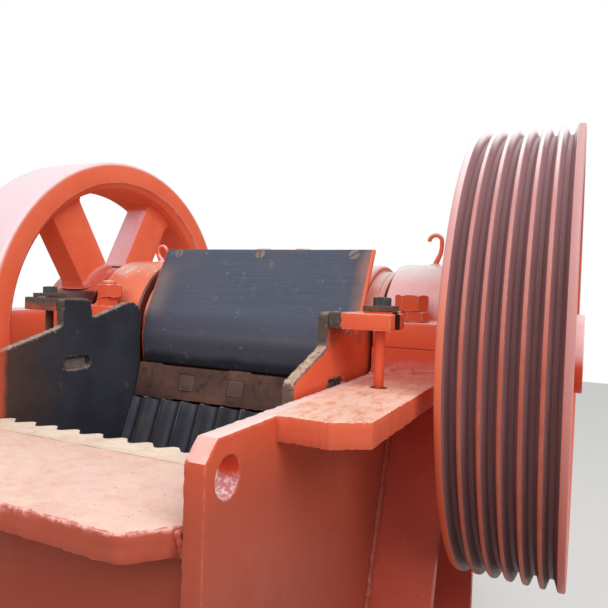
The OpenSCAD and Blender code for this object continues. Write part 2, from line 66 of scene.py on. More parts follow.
class Shape:
    """Points in millimetres and faces, gathered into one mesh."""

    def __init__(self):
        self.v, self.f, self.m, self.flat = [], [], [], []

    def add(self, verts, faces, mat, flat=False):
        n = len(self.v)
        self.v.extend(tuple(p) for p in verts)
        for f in faces:
            self.f.append([i + n for i in f])
            self.m.append(mat)
            self.flat.append(flat)

    def rings(self, rings, mat=0, over=False, caps=True):
        """Joins rings of equal length; over joins the last to the first, caps closes both ends."""
        base, n, k = len(self.v), len(rings[0]), len(rings)
        quads = []
        for i in range(k if over else k - 1):
            a, b = i * n, (i + 1) % k * n
            quads += [(a + j, a + (j + 1) % n, b + (j + 1) % n, b + j) for j in range(n)]
        self.add([p for r in rings for p in r], quads, mat)
        if caps and (not over):
            for start in (base, base + (k - 1) * n):
                self.f.append(list(range(start, start + n)))
                self.m.append(mat)
                self.flat.append(True)


AXES = {"x": (Vector((0, 1, 0)), Vector((0, 0, 1)), Vector((1, 0, 0))),
    "y": (Vector((0, 0, 1)), Vector((1, 0, 0)), Vector((0, 1, 0))),
    "z": (Vector((1, 0, 0)), Vector((0, 1, 0)), Vector((0, 0, 1)))}


def basis(axis):
    if isinstance(axis, str):
        return AXES[axis]
    d = Vector(axis).normalized()
    a = d.orthogonal().normalized()
    return a, d.cross(a), d


def circle(centre, a, b, r, n):
    return [centre + (a * cos(w) + b * sin(w)) * r for w in (2 * pi * k / n for k in range(n))]


def lathe(sh, profile, at, axis, n, mat=0, over=False):
    """Turns a profile of (distance along the axis, radius) points around an axis."""
    a, b, d = basis(axis)
    sh.rings([circle(Vector(at) + d * t, a, b, r, n) for t, r in profile], mat, over)


def on_shaft(sh, s, profile, n, mat=0, over=True):
    """Turns a profile around the shaft; s is 1 for the right side and -1 for the left."""
    lathe(sh, [(s * t, r) for t, r in profile], (0, 0, 0), "x", n, mat, over)


def sweep(c, r, w0, w1, n):
    """n + 1 points on a circle, the short way round from angle w0 to w1."""
    turn = remainder(w1 - w0, 2 * pi)
    return [(c[0] + r * cos(w0 + turn * k / n), c[1] + r * sin(w0 + turn * k / n)) for k in range(n + 1)]


def arc(u, v, r, first, last, step):
    """Points on a circle's arc; its angles are whole degrees."""
    return [(u + r * cos(radians(w)), v + r * sin(radians(w))) for w in range(first, last, step)]


def nut(sh, at, axis, flats, height, turn, mat=0, wear=0.0, seed=0.0, skirt=True):
    """A hexagon nut with chamfered ends."""
    a, b, d = basis(axis)
    at = Vector(at)
    n, rc = 48, flats / 2 * 0.965
    rows = []
    for kind in range(6):
        row = []
        for k in range(n):
            w = 2 * pi * k / n
            rh = flats / 2 / cos(w % (pi / 3) - pi / 6)
            rh -= wear * (0.5 + 0.5 * wob(w * 2 + seed, kind * 0.4, seed)) + 0.012 * (rh - flats / 2)
            cut = (rh - rc) * 0.62
            low = cut if skirt else 0.4
            t, r = ((0, rc - 3), (0, rc if skirt else rh - 0.4), (low, rh), (height - cut, rh), (height, rc),
                (height, rc - 3))[kind]
            row.append(at + d * t + (a * cos(w + turn) + b * sin(w + turn)) * r)
        rows.append(row)
    sh.rings(rows, mat)


def thread(sh, at, r, length, pitch, depth, n, mat=0, dome=0.0):
    """An upright screw thread with a chamfered or domed end."""
    a, b, d = AXES["z"]
    at = Vector(at)
    steps = max(4, int(length / pitch * 5))
    rows = []
    for i in range(steps + 1):
        t = length * i / steps
        row = []
        for k in range(n):
            w = 2 * pi * k / n
            phase = (t / pitch - w / (2 * pi)) % 1
            rr = r - depth * abs(2 * phase - 1)
            row.append(at + d * t + (a * cos(w) + b * sin(w)) * rr)
        rows.append(row)
    for q in ((1.2, 0.86), (1.2 + dome * 0.6, 0.6), (1.2 + dome, 0.25)) if dome else ((1.5, 0.84),):
        rows.append(circle(at + d * (length + q[0]), a, b, r * q[1], n))
    sh.rings(rows, mat)


def tube(sh, pts, radii, n):
    """A round bar along a path, with a radius for each point."""
    pts = [Vector(p) for p in pts]
    side = None
    rows = []
    for p, before, after, r in zip(pts, pts[:1] + pts, pts[1:] + pts[-1:], radii):
        d = (after - before).normalized()
        if side is None:
            side = d.orthogonal().normalized()
        side = (side - d * side.dot(d)).normalized()
        rows.append(circle(p, side, d.cross(side), r, n))
    sh.rings(rows)


def along(path, step, closed=False):
    """Points at about equal steps on a 3-D path, its corners kept."""
    path = [Vector(p) for p in path]
    ends = path + [path[0]] if closed else path
    out = []
    for a, b in zip(ends, ends[1:]):
        n = max(1, round((b - a).length / step))
        out.extend(a.lerp(b, i / n) for i in range(n))
    if not closed:
        out.append(ends[-1])
    return out


def weld(sh, path, size, step, seed, rough=0.2):
    """A weld bead with ripples, its middle on the corner that it fills."""
    pts = along(path, step)
    run = 0.0
    moved, radii = [], []
    for i, p in enumerate(pts):
        if i:
            run += (p - pts[i - 1]).length
        ripple = abs(sin(pi * run / (size * 1.15 + 2)))
        radii.append(size * (0.82 + 0.14 * ripple + rough * wob(run / 21, seed, 0.5)))
        moved.append(p + Vector((wob(run / 33, seed, 3), wob(run / 33, seed, 7), wob(run / 33, seed, 11)))
            * size * 0.16)
    tube(sh, moved, radii, 8)


def prism(sh, outline, lo, hi, axis, bevel, segs, mat=0):
    """A straight solid from an outline, its edges rounded. The outline is (y, z), (x, z) or (x, y)."""
    def at(u, v, w):
        return {"x": (w, u, v), "y": (u, w, v), "z": (u, v, w)}[axis]
    bm = bmesh.new()
    low = [bm.verts.new(at(u, v, lo)) for u, v in outline]
    high = [bm.verts.new(at(u, v, hi)) for u, v in outline]
    n = len(outline)
    bm.faces.new(low)
    bm.faces.new(list(reversed(high)))
    for i in range(n):
        bm.faces.new((low[i], high[i], high[(i + 1) % n], low[(i + 1) % n]))
    bmesh.ops.recalc_face_normals(bm, faces=bm.faces)
    edges = [e for e in bm.edges if e.calc_face_angle(0) > radians(25)]
    bmesh.ops.bevel(bm, geom=edges, offset=bevel, segments=segs, profile=0.5, affect="EDGES",
        clamp_overlap=True)
    bm.verts.index_update()
    sh.add([v.co for v in bm.verts], [[v.index for v in f.verts] for f in bm.faces], mat)
    bm.free()


def area(loop):
    return sum(a[0] * b[1] - b[0] * a[1] for a, b in zip(loop, loop[1:] + loop[:1])) / 2


def rounded(outline, radii):
    """Rounds the corners of an outline. radii is {index: radius}."""
    out = []
    n = len(outline)
    for i, p in enumerate(outline):
        r = radii.get(i, 0)
        if not r:
            out.append(p)
            continue
        p = Vector(p)
        a = (Vector(outline[i - 1]) - p).normalized()
        b = (Vector(outline[(i + 1) % n]) - p).normalized()
        half = acos(max(-1, min(1, a.dot(b)))) / 2
        if half > radians(88):
            out.append(tuple(p))
            continue
        c = p + (a + b).normalized() * r / sin(half)
        s, e = p + a * r / tan(half), p + b * r / tan(half)
        out.extend(sweep(c, r, atan2(s.y - c.y, s.x - c.x), atan2(e.y - c.y, e.x - c.x), 4))
    return out


def curve2(points, n):
    """A smooth curve through points."""
    p = [points[0]] + list(points) + [points[-1]]
    out = []
    for i in range(1, len(p) - 2):
        for k in range(n):
            t = k / n
            out.append(tuple(0.5 * (2 * p[i][j] + (p[i + 1][j] - p[i - 1][j]) * t
                + (2 * p[i - 1][j] - 5 * p[i][j] + 4 * p[i + 1][j] - p[i + 2][j]) * t * t
                + (3 * p[i][j] - p[i - 1][j] - 3 * p[i + 1][j] + p[i + 2][j]) * t ** 3) for j in range(2)))
    out.append(tuple(points[-1]))
    return out


def plate(sh, loops, lo, hi, axis, side, edge, rough, step, seed, mats=(0, 0, 0), crumble=0.5, hole_edge=None,
        lump=0.0):
    """A flame-cut plate: the loops are its outline and holes; its edges are rounded and uneven.
    mats are the materials of its low face, its edge and its high face."""
    def at(u, v, w):
        return {"x": (side * w, u, v), "y": (side * u, w, v), "z": (side * u, v, w)}[axis]
    ends = {0: [], -1: []}
    for number, loop in enumerate(loops):
        loop = [tuple(p) for p in loop]
        corner = hole_edge if number and hole_edge else edge
        if (area(loop) > 0) != (number == 0):
            loop = loop[::-1]
        pts = [Vector((p.x, p.y)) for p in along([(u, v, 0) for u, v in loop], step, True)]
        n = len(pts)
        inward = []
        for i in range(n):
            a, b = (pts[i] - pts[i - 1]).normalized(), (pts[(i + 1) % n] - pts[i]).normalized()
            na, nb = Vector((-a.y, a.x)), Vector((-b.y, b.x))
            m = na + nb
            m = m.normalized() / max(0.5, m.length / 2) if m.length > 0.01 else na
            inward.append(m)
        levels = []
        for face, sign in ((lo, 1), (hi, -1)):
            for k in range(3):
                ang = k * pi / 4
                levels.append((face, sign, 1 - sin(ang), 1 - cos(ang)))
        order = levels[:3] + [None, None] + levels[3:][::-1]
        rows, lines = [], []
        for j, level in enumerate(order):
            row, line = [], []
            for i, p in enumerate(pts):
                u, v = p
                if level is None:
                    f = 0.36 if j == 3 else 0.64
                    w = lo + (hi - lo) * f
                    inn = (rough * (0.5 + 0.5 * wob(u / 9, v / 9, seed + w / 30)) + rough * 0.6
                        * abs(wob(u / 4, v / 4, w / 11)))
                    inn += lump * (0.5 + 0.5 * wob(u / 46, v / 46, seed + 9))
                else:
                    face, sign, a, b = level
                    size = (corner * (0.75 + 0.5 * wob(u / 17, v / 17, seed + sign) + crumble
                        * max(0, wob(u / 5.5, v / 5.5, seed + 4 + sign)) * 2))
                    size = max(0.6, size)
                    # a from 1 (on the face) to 0 (on the edge)
                    w = face + sign * size * b if a < 1 else face
                    inn = size * a + rough * (0.5 + 0.5 * wob(u / 9, v / 9, seed + w / 30)) * (1 - a)
                    inn += lump * (0.5 + 0.5 * wob(u / 46, v / 46, seed + 9 + sign * 2))
                q = p + inward[i] * inn
                row.append(at(q.x, q.y, w))
                line.append(Vector((q.x, q.y, 0)))
            rows.append(row)
            lines.append(line)
        sh.rings(rows, mats[1], caps=False)
        for k in ends:
            ends[k].append((lines[k], rows[k]))
    for k, mat in ((0, mats[0]), (-1, mats[2])):
        tris = geometry.tessellate_polygon([line for line, row in ends[k]])
        sh.add([p for line, row in ends[k] for p in row], tris, mat, True)


def make(name, sh, mats, body, replaces=(), sharp=34):
    mesh = bpy.data.meshes.new(name)
    mesh.from_pydata([place(p) for p in sh.v], [], sh.f)
    for m in mats:
        mesh.materials.append(m)
    mesh.polygons.foreach_set("material_index", sh.m)
    mesh.polygons.foreach_set("use_smooth", [not x for x in sh.flat])
    bm = bmesh.new()
    bm.from_mesh(mesh)
    bmesh.ops.remove_doubles(bm, verts=bm.verts, dist=JOIN)
    bmesh.ops.recalc_face_normals(bm, faces=bm.faces)
    bm.to_mesh(mesh)
    bm.free()
    smooth = [p.use_smooth for p in mesh.polygons]
    mesh.set_sharp_from_angle(angle=radians(sharp))
    mesh.polygons.foreach_set("use_smooth", smooth)
    mesh.validate()
    ob = bpy.data.objects.new(name, mesh)
    bpy.context.scene.collection.objects.link(ob)
    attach(ob, body)
    if replaces:
        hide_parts(*replaces)


# ---------------------------------------------------------------- materials

class Value:
    """An output of a node. Sums, products and so on of values become Math nodes."""

    def __init__(self, nodes, socket):
        self.nodes, self.socket = nodes, socket

    def __add__(self, other):
        return self.nodes.math("ADD", self, other)

    def __sub__(self, other):
        return self.nodes.math("SUBTRACT", self, other)

    def __rsub__(self, other):
        return self.nodes.math("SUBTRACT", other, self)

    def __mul__(self, other):
        return self.nodes.math("MULTIPLY", self, other)

    def __truediv__(self, other):
        return self.nodes.math("DIVIDE", self, other)

    def __abs__(self):
        return self.nodes.math("ABSOLUTE", self)


class Nodes:
    """Builds a shader's node tree, one node at a time."""

    def __init__(self, owner):
        owner.use_nodes = True
        self.tree = owner.node_tree
        self.tree.nodes.clear()

    def node(self, kind, inputs=(), **props):
        n = self.tree.nodes.new("ShaderNode" + kind)
        for k, v in props.items():
            setattr(n, k, v)
        for k, v in dict(inputs).items():
            self.join(n.inputs[k], v)
        return n

    def join(self, socket, value):
        if isinstance(value, Value):
            self.tree.links.new(value.socket, socket)
        else:
            socket.default_value = (*value, 1) if socket.type == "RGBA" else value

    def value(self, node, key=0):
        return Value(self, node.outputs[key])

    def parts(self, vector):
        n = self.node("SeparateXYZ", {0: vector})
        return [self.value(n, k) for k in range(3)]

    def math(self, op, a, b=0.0):
        return self.value(self.node("Math", {0: a, 1: b}, operation=op))

    def either(self, a, b):
        return self.math("MAXIMUM", a, b)

    def seen(self):
        """1 for what the camera sees, also in a mirror or through glass."""
        path = self.node("LightPath")
        camera, glossy, clear = (self.value(path, "Is %s Ray" % k)
            for k in ("Camera", "Glossy", "Transmission"))
        return self.either(self.either(camera, glossy), clear)


class Look(Nodes):
    """A procedural material, laid on in layers. shift moves all its noise."""

    def __init__(self, name, shift=0.0, metal=0.0):
        self.mat = bpy.data.materials.new(name)
        super().__init__(self.mat)
        self.shift, self.colour = shift, None
        self.shader = self.node("BsdfPrincipled", {"Metallic": metal})
        self.node("OutputMaterial", {0: self.value(self.shader)})
        coord = self.node("TexCoord")
        self.co = self.value(coord, "Object")
        self.x, self.y, self.z = self.parts(self.co)
        self.up = self.parts(self.value(coord, "Normal"))[2]

    def span(self, v, a, b, c=0.0, d=1.0):
        """Goes smoothly from c, where v is a, to d, where v is b."""
        return self.value(self.node("MapRange", {0: v, 1: a, 2: b, 3: c, 4: d},
            interpolation_type="SMOOTHSTEP"))

    def noise(self, scale, detail=4, rough=0.6, stretch=None, shift=0.0):
        v, far = self.co, self.shift + shift
        if stretch or far:
            v = self.value(self.node("Mapping", {"Vector": v, "Scale": stretch or (1, 1, 1),
                "Location": (far, far * 0.7, far * 1.3)}))
        return self.value(self.node("TexNoise", {"Vector": v, "Scale": scale, "Detail": detail,
            "Roughness": rough}), "Fac")

    def blot(self, scale, a, b, c=0.0, d=1.0, **kind):
        """Patches of noise, from c where it is a to d where it is b."""
        return self.span(self.noise(scale, **kind), a, b, c, d)

    def stray(self, reach, scale, **kind):
        """Noise around 0, for a line that wanders."""
        return (self.noise(scale, **kind) - 0.5) * reach

    def specks(self, scale, size, shift, share):
        """1 inside small irregular spots, 0 elsewhere. share is how many of the cells carry one."""
        v = self.value(self.node("Mapping", {"Vector": self.co, "Location": (self.shift + shift,) * 3}))
        cells = self.node("TexVoronoi", {"Vector": v, "Scale": scale, "Randomness": 1.0})
        pick = self.parts(self.value(cells, "Color"))[0]
        d = self.value(cells, "Distance") + self.span(pick, share, share + 0.05, 0.0, 2.0)
        d += self.stray(0.12, scale * 5, detail=3, rough=0.55, shift=-self.shift)
        return self.span(d, size, size * 0.55)

    def mix(self, f, a, b):
        return self.value(self.node("Mix", {0: f, 6: a, 7: b}, data_type="RGBA"), 2)

    def lay(self, mask, colour):
        """Lays a colour over those before it."""
        self.colour = self.mix(mask, self.colour, colour)

    def edges(self, radius=0.006, low=0.985, high=0.8):
        """1 along outer and inner edges."""
        soft = self.value(self.node("Bevel", {"Radius": radius}, samples=6))
        hard = self.value(self.node("NewGeometry"), "Normal")
        dot = self.value(self.node("VectorMath", {0: soft, 1: hard}, operation="DOT_PRODUCT"), "Value")
        return self.span(dot, low, high)

    def cavity(self, distance):
        """1 in the open, 0 deep in a corner."""
        return self.value(self.node("AmbientOcclusion", {"Distance": distance}, samples=6), "AO")

    def axle(self):
        """Reach and height from the shaft's axis, and the distance from it."""
        cy, cz = self.y - SHAFT_Y / 1000, self.z - SHAFT_H / 1000
        return cy, cz, self.math("SQRT", cy * cy + cz * cz)

    def done(self, rough, height=None, strength=0.0, distance=0.0, level=0.5, coat=0.0, dull=0.25):
        """Roughness, relief (its strength and its depth in metres), gloss and coat."""
        self.join(self.shader.inputs["Base Color"], self.colour)
        self.join(self.shader.inputs["Roughness"], rough)
        if height:
            bump = self.node("Bump", {"Height": height, "Strength": strength, "Distance": distance})
            self.join(self.shader.inputs["Normal"], self.value(bump))
        # Faces that look sideways or down mirror dull ground and woods, so they shine less than the tops do.
        self.join(self.shader.inputs["Specular IOR Level"], self.span(self.up, -0.1, 0.8, level * dull, level))
        if coat:
            self.join(self.shader.inputs["Coat Weight"], self.span(self.up, -0.1, 0.6, coat * dull * 0.3, coat))
            self.shader.inputs["Coat Roughness"].default_value = 0.22
        return self.mat


def shade(colour, k):
    return tuple(c * k for c in colour)


def blend(a, b, share):
    return tuple((1 - share) * p + share * q for p, q in zip(a, b))


def paint(name, base=(0.8, 0.132, 0.058), deep=(0.68, 0.094, 0.042), pale=(0.9, 0.62, 0.53),
        tint=(0.88, 0.42, 0.34), dust_and_sheen=0.9, dust_and_sheen_from=0.55, grit=0.25, rough=(0.34, 0.5), wear=0.7, recess_dark=0.5,
        speck=0.35, shift=0.0, low_shade=1.0, patch=0.4, coat=0.0, brush=0.0, shade_below=0.0, above=0.0, gap_shade=0.0,
        round_part=False, gritty=None, glint=0.0, dull=0.25, hole=False, seam=False, fleck_glints=0.0):
    """Machine paint: dusty and painted with a sky highlight on top, darker and redder lower down as painted
    shade, chipped along its edges with painted highlights there, gritty.
    """
    m = Look(name, shift)
    broad = m.noise(2.6)
    mid = m.noise(16, shift=3)
    fine = m.noise(150, 3, 0.6, shift=5)
    m.colour = m.mix(m.span(broad, 0.35, 0.7), base, deep)
    m.lay(m.span(mid, 0.45, 0.75) * 0.22, tuple(min(1, c * 1.1 + 0.03) for c in base))
    # Painted shade: the paint turns darker and redder toward the bottom.
    if low_shade:
        drift = m.z + m.stray(0.08, 4, shift=7)
        m.lay(m.span(drift, 1.18, 1.04, 0.0, 0.92 * low_shade), (0.43, 0.084, 0.047))
        m.lay(m.span(drift, 1.04, 0.78, 0.0, 0.85 * low_shade), (0.325, 0.06, 0.037))
    if shade_below:
        # Painted shadow: near black low on the front, under the deflector.
        under_deflector_shade = m.span(m.z, shade_below, shade_below - 0.02, 0.0, 0.93) * m.span(m.y, 0.09, 0.02)
        m.lay(under_deflector_shade, (0.045, 0.026, 0.024))
    # Up-facing paint is paler: dust and a painted sky highlight.
    top = m.span(m.up, dust_and_sheen_from, dust_and_sheen_from + 0.4)
    crown = m.span(m.up, 0.7, 0.985)
    if above:
        top = top * m.either(m.span(m.z, above, above + 0.03), m.span(m.up, 0.75, 0.95))
    even = m.blot(30, 0.2, 0.7, dust_and_sheen * 0.78, dust_and_sheen, detail=5, rough=0.65, shift=9)
    m.lay(top * even, tint)
    m.lay(crown * even, pale)
    stain = m.blot(5, 0.48, 0.72, 0.0, patch, shift=21)
    m.lay(stain * top, blend(base, pale, 0.4))
    if brush:
        hair = m.noise(1, 4, 0.65, stretch=(90, 14, 90), shift=25)
        m.lay(m.span(hair, 0.5, 0.72, 0.0, brush) * top, blend(base, pale, 0.5))
    if round_part:
        # The wheels: a painted sky reflection round the tread, plain on the hub with a painted shadow on its
        # front below a spoke, painted highlights along the rim's corners.
        cy, cz, radius = m.axle()
        out = abs(m.x)
        tread_sheen = m.span(radius, 0.572, 0.588) * m.span(m.up, -0.35, 0.3)
        m.lay(tread_sheen * even, (0.9, 0.7, 0.76))
        hub = m.span(radius, 0.226, 0.214)
        m.lay(hub * 0.9, (0.62, 0.088, 0.04))
        hub_shadow = m.span(cy, -0.146, -0.158) * m.span(cz, 0.122, 0.112) * m.span(cz, 0.05, 0.08)
        m.lay(hub * hub_shadow * 0.93, (0.04, 0.012, 0.01))
        edge_highlight = m.span(out, 0.6415, 0.6435) * m.span(out, 0.649, 0.646) * m.span(radius, 0.58, 0.584)
        lip = m.span(radius, 0.5125, 0.515) * m.span(radius, 0.5215, 0.519)
        edge_highlight = (m.either(edge_highlight, lip * m.span(m.up, -0.6, 0.4, 0.25, 1.0))
            * m.blot(26, 0.38, 0.62, 0.15, 0.8, rough=0.7, shift=37))
        m.lay(edge_highlight, (0.96, 0.72, 0.7))
    if gap_shade:
        # Painted shade in the gap toward the swing jaw's head.
        near = abs(m.x) + (mid - 0.5) * 0.004
        m.lay(m.span(near, gap_shade, gap_shade - 0.004, 0.0, 0.92), (0.075, 0.02, 0.018))
    if gritty:
        # Spatter beside the welds: pinker and full of small glints.
        axis, far, close = gritty
        drift = (m.y if axis == "y" else m.z) + m.stray(0.06, 22, rough=0.65, shift=39)
        zone = m.span(drift, far, close)
        m.lay(zone * m.blot(75, 0.3, 0.6, 0.55, 0.95, detail=5, rough=0.7, shift=41), (0.88, 0.31, 0.29))
        m.lay(zone * m.specks(190, 0.16, 2, 0.4), (0.98, 0.8, 0.76))
        m.lay(zone * (m.specks(120, 0.15, 6, 0.3) * 0.7), (0.24, 0.05, 0.035))
    if hole:
        # The lifting hole: red above, thick lilac paint below with a painted highlight on its up-facing lower
        # wall.
        hy, hz = m.y + (-LIFT_Y - SHAFT_Y) / 1000, m.z - (LIFT_Z + SHAFT_H) / 1000
        away = m.math("SQRT", hy * hy + hz * hz)
        wall = m.span(away, 0.0355, 0.0335) * m.span(abs(m.x), 0.4495, 0.4475) * m.span(away, 0.018, 0.02)
        lower = m.span(m.up, -0.1, 0.5)
        lit_lilac = m.mix(m.blot(130, 0.45, 0.62, rough=0.7, shift=47), (0.54, 0.17, 0.18), (0.9, 0.66, 0.68))
        m.lay(wall * 0.9, m.mix(lower, (0.66, 0.06, 0.022), lit_lilac))
    if seam:
        # The fixed jaw's sandy top runs on to an open, dark joint; the front edge is melted and redder.
        on_top = m.span(m.up, 0.8, 0.93) * m.span(m.z, 1.026, 1.03)
        sandy = m.span(m.y, -0.635, -0.634) * on_top
        m.lay(sandy * 0.9, m.mix(m.blot(34, 0.3, 0.75, detail=5, rough=0.7, shift=7 - shift), (0.93, 0.78, 0.6),
            (0.8, 0.62, 0.46)))
        joint = (m.span(abs(m.y + 0.6352 + (mid - 0.5) * 0.0015), 0.0017, 0.0007)
            * m.blot(14, 0.36, 0.56, 0.45, 0.95, detail=5, rough=0.7, shift=49))
        joint = joint * m.span(m.x, 0.3, 0.2, 0.25, 1.0)
        m.lay(joint * on_top, (0.1, 0.045, 0.035))
        rubbed = m.blot(40, 0.45, 0.66, 0.0, 0.75, detail=5, rough=0.75, shift=51)
        m.lay(rubbed * top, (0.93, 0.72, 0.52))
        flush = m.blot(27, 0.52, 0.72, 0.0, 0.55, detail=5, rough=0.72, shift=55)
        m.lay(flush * top, (0.86, 0.4, 0.31))
        grime = m.specks(95, 0.1, 8, 0.35) * m.span(m.up, 0.7, 0.9)
        m.lay(grime * 0.7, (0.42, 0.2, 0.15))
        # The melted front edge is redder, with pale painted highlights on its lumps.
        melted = m.span(m.up, 0.12, 0.35) * m.span(m.up, 0.985, 0.9)
        lumps = m.mix(m.blot(95, 0.42, 0.6, rough=0.7, shift=57), (0.56, 0.11, 0.085), (0.92, 0.46, 0.4))
        m.lay(melted * 0.85, lumps)
    if fleck_glints:
        # Small pale flecks on thick paint, painted as glints.
        where = m.blot(5, 0.4, 0.62, 0.15, 1.0, shift=59)
        m.lay(where * (m.specks(120, 0.13, 10, 0.35) * fleck_glints), (0.86, 0.47, 0.44))
    if glint:
        # Hard small highlights of lumpy paint on the tops.
        spark = m.blot(46, 0.575, 0.64, rough=0.7, stretch=(1, 0.45, 1), shift=43) * m.span(m.up, 0.62, 0.85)
        m.lay(spark * glint, (1.0, 0.93, 0.9))
    spots = m.specks(70, 0.13, 1, speck) * m.span(top, 0.0, 1.0, 0.25, 0.75)
    m.lay(spots, (0.22, 0.085, 0.06))
    if brush:
        grime = m.specks(150, 0.13, 4, 0.4) * top
        m.lay(grime * 0.75, (0.34, 0.11, 0.06))
        wipe = m.blot(1, 0.47, 0.64, 0.0, 0.85, detail=5, rough=0.75, stretch=(38, 12, 38), shift=53) * top
        m.lay(wipe, (0.8, 0.31, 0.18))
        # Near-white painted highlights on the tops.
        top_glints = m.blot(70, 0.6, 0.68, rough=0.7, shift=61) * top
        m.lay(top_glints * 0.8, (1.0, 0.88, 0.78))
    # Painted shade: darker in corners and hollows, from the occlusion node.
    hollow = m.span(m.cavity(0.045), 0.15, 0.8, recess_dark, 0.0)
    m.lay(hollow * m.span(mid, 0.3, 0.6, 0.5, 1.0), (0.2, 0.032, 0.022))
    # Pale edges: wear and a painted highlight.
    rim = (m.edges() * m.blot(85, 0.42, 0.62, 0.0, wear, rough=0.7, shift=13)
        * m.span(m.up, -0.35, 0.35, 0.14, 1.0))
    m.lay(rim, (0.95, 0.66, 0.56))
    chips = m.edges(0.004, 0.97, 0.8) * m.blot(60, 0.64, 0.7, 0.0, wear, rough=0.7, shift=31)
    m.lay(chips, (0.16, 0.07, 0.05))
    height = mid * 1.6 + fine * grit + m.noise(420, 2, 0.5, shift=-shift) * (grit * 0.35)
    return m.done(m.span(mid, 0.3, 0.7, rough[0], rough[1]), height, 0.35, 0.0022, coat=coat, dull=dull)


def cheek_steel(name, base=(0.034, 0.036, 0.048), brown=(0.09, 0.052, 0.04), edge=(0.46, 0.33, 0.235),
        wear=0.75, painted=False, sprayed=False, edged=False, speckle=0.9):
    """Dark cast manganese plate: scale, brown stains, pits and pale worn edges."""
    m = Look(name)
    broad = m.noise(5)
    mid = m.noise(26, 4, 0.65, shift=2)
    fine = m.noise(190, 4, 0.7, shift=4)
    m.colour = m.mix(m.span(broad, 0.35, 0.7), base, shade(base, 1.6))
    # The front of the plate is browner.
    front = m.y * -1.0 + m.stray(0.22, 7, shift=6)
    m.lay(m.span(front, 0.34, 0.5, 0.0, 0.85), brown)
    m.lay(m.blot(9, 0.58, 0.74, 0.0, 0.6, detail=5, rough=0.65, shift=11), brown)
    m.lay(m.specks(38, 0.12, 5, 0.22), (0.2, 0.17, 0.15))
    m.lay(m.specks(13, 0.17, 8, 0.25) * 0.5, (0.16, 0.115, 0.09))
    top = m.span(m.up, 0.35, 0.9)
    m.lay(top * m.blot(60, 0.35, 0.62, 0.35, 1.0, detail=5, rough=0.75, shift=15), edge)
    m.lay(top * m.blot(105, 0.52, 0.62, 0.0, speckle, rough=0.75, shift=17), (0.075, 0.046, 0.034))
    rim = m.edges(0.009, 0.985, 0.84) * m.blot(55, 0.38, 0.62, 0.0, wear, detail=5, rough=0.7, shift=19)
    m.lay(rim, shade(edge, 0.8))
    if edged:
        # The lug's own edges are dark.
        lug = m.span(m.z, 1.25, 1.262) * m.span(m.y, -0.245, -0.262)
        m.lay(lug * m.blot(80, 0.2, 0.7, 0.95, 0.55, rough=0.7, shift=27), (0.085, 0.062, 0.052))
    if sprayed:
        # Orange overspray over the front end.
        soft = m.y + m.stray(0.02, 16, shift=29)
        m.lay(m.span(soft, -0.529, -0.549), (0.52, 0.1, 0.048))
    if painted:
        # Behind the clamping arm the upper edge is painted.
        ragged = m.y + m.stray(0.03, 70, rough=0.7, shift=23)
        there = m.span(ragged, -0.285, -0.275) * m.span(m.z, 1.1, 1.14)
        m.lay(there, (0.84, 0.3, 0.2))
        shadow = m.span(m.z, 1.262, 1.266) * (m.span(m.y, -0.205, -0.215) * m.span(m.y, -0.265, -0.25))
        m.lay(shadow * 0.92, (0.2, 0.045, 0.03))
    height = mid * 1.8 + fine * 0.55
    return m.done(m.span(fine, 0.3, 0.7, 0.5, 0.78), height, 0.5, 0.003, 0.4)


def arm_paint(name, side):
    """The cheek plate's painted side. Toward the plate's inner edge the paint is gone and dark iron shows."""
    m = Look(name)
    mid = m.noise(20, shift=31)
    fine = m.noise(150, 4, 0.65, shift=33)
    broad = m.noise(3, shift=35)
    m.colour = m.mix(m.span(broad, 0.35, 0.7), (0.76, 0.135, 0.06), (0.68, 0.1, 0.046))
    # Painted shade: darker toward the bottom.
    drift = m.z + m.stray(0.08, 4, shift=37)
    m.lay(m.span(drift, 1.18, 1.04, 0.0, 0.8), (0.5, 0.095, 0.05))
    # Painted sky highlight on the up-facing paint.
    top = m.span(m.up, 0.5, 0.95)
    m.lay(top * m.span(fine, 0.3, 0.6, 0.4, 0.9), (0.9, 0.46, 0.34))
    # Darker patches under the arm and a dark band along the face's rear end.
    under = m.span(m.z, 1.2, 1.28) * m.span(m.z, 1.292, 1.286)
    dark_patch = m.blot(14, 0.4, 0.62, detail=5, shift=41) * under
    edge_on = m.y + m.stray(0.03, 18, shift=49)
    dark_patch = m.either(dark_patch, m.span(edge_on, -0.085, -0.06) * m.span(m.z, 1.3, 1.22))
    on_face = m.span(m.x * side, 0.4045, 0.403)
    m.lay(dark_patch * on_face * 0.7, (0.16, 0.055, 0.045))
    # Pale outer edges: wear and a painted highlight.
    rim = (m.edges() * m.blot(85, 0.42, 0.6, 0.0, 0.9, rough=0.7, shift=43) * m.span(m.cavity(0.02), 0.7, 0.9))
    m.lay(rim, (0.93, 0.6, 0.48))
    # The walls of the slot for the stud are near black: bare iron and painted shade.
    slot = (m.span(m.y, -0.334, -0.332) * m.span(m.y, -0.2955, -0.2975)
        * (m.span(m.z, 1.283, 1.285) * m.span(m.up, 0.7, 0.4)))
    m.lay(slot * 0.97, (0.022, 0.012, 0.011))
    iron = m.mix(m.span(fine, 0.35, 0.65), (0.105, 0.078, 0.066), (0.045, 0.036, 0.036))
    iron = m.mix(m.blot(60, 0.55, 0.72, 0.0, 0.7, detail=5, rough=0.7, shift=45), iron, (0.22, 0.15, 0.11))
    ragged = m.x * side + m.stray(0.024, 75, detail=5, rough=0.75, shift=47)
    on_arm = m.span(m.x * side, 0.4035, 0.405)
    if side > 0:
        bare = m.span(ragged, 0.4355, 0.4325) * on_arm
    else:
        patch = m.blot(11, 0.3, 0.7, shift=51) * m.span(m.z, 1.318, 1.292) * m.span(m.up, 0.6, 0.3)
        bare = (1.0 - patch * 0.62) * on_arm
    m.lay(bare, iron)
    height = mid * 1.7 + fine * 0.45
    return m.done(m.span(mid, 0.3, 0.7, 0.4, 0.58), height, 0.4, 0.0024, 0.5)


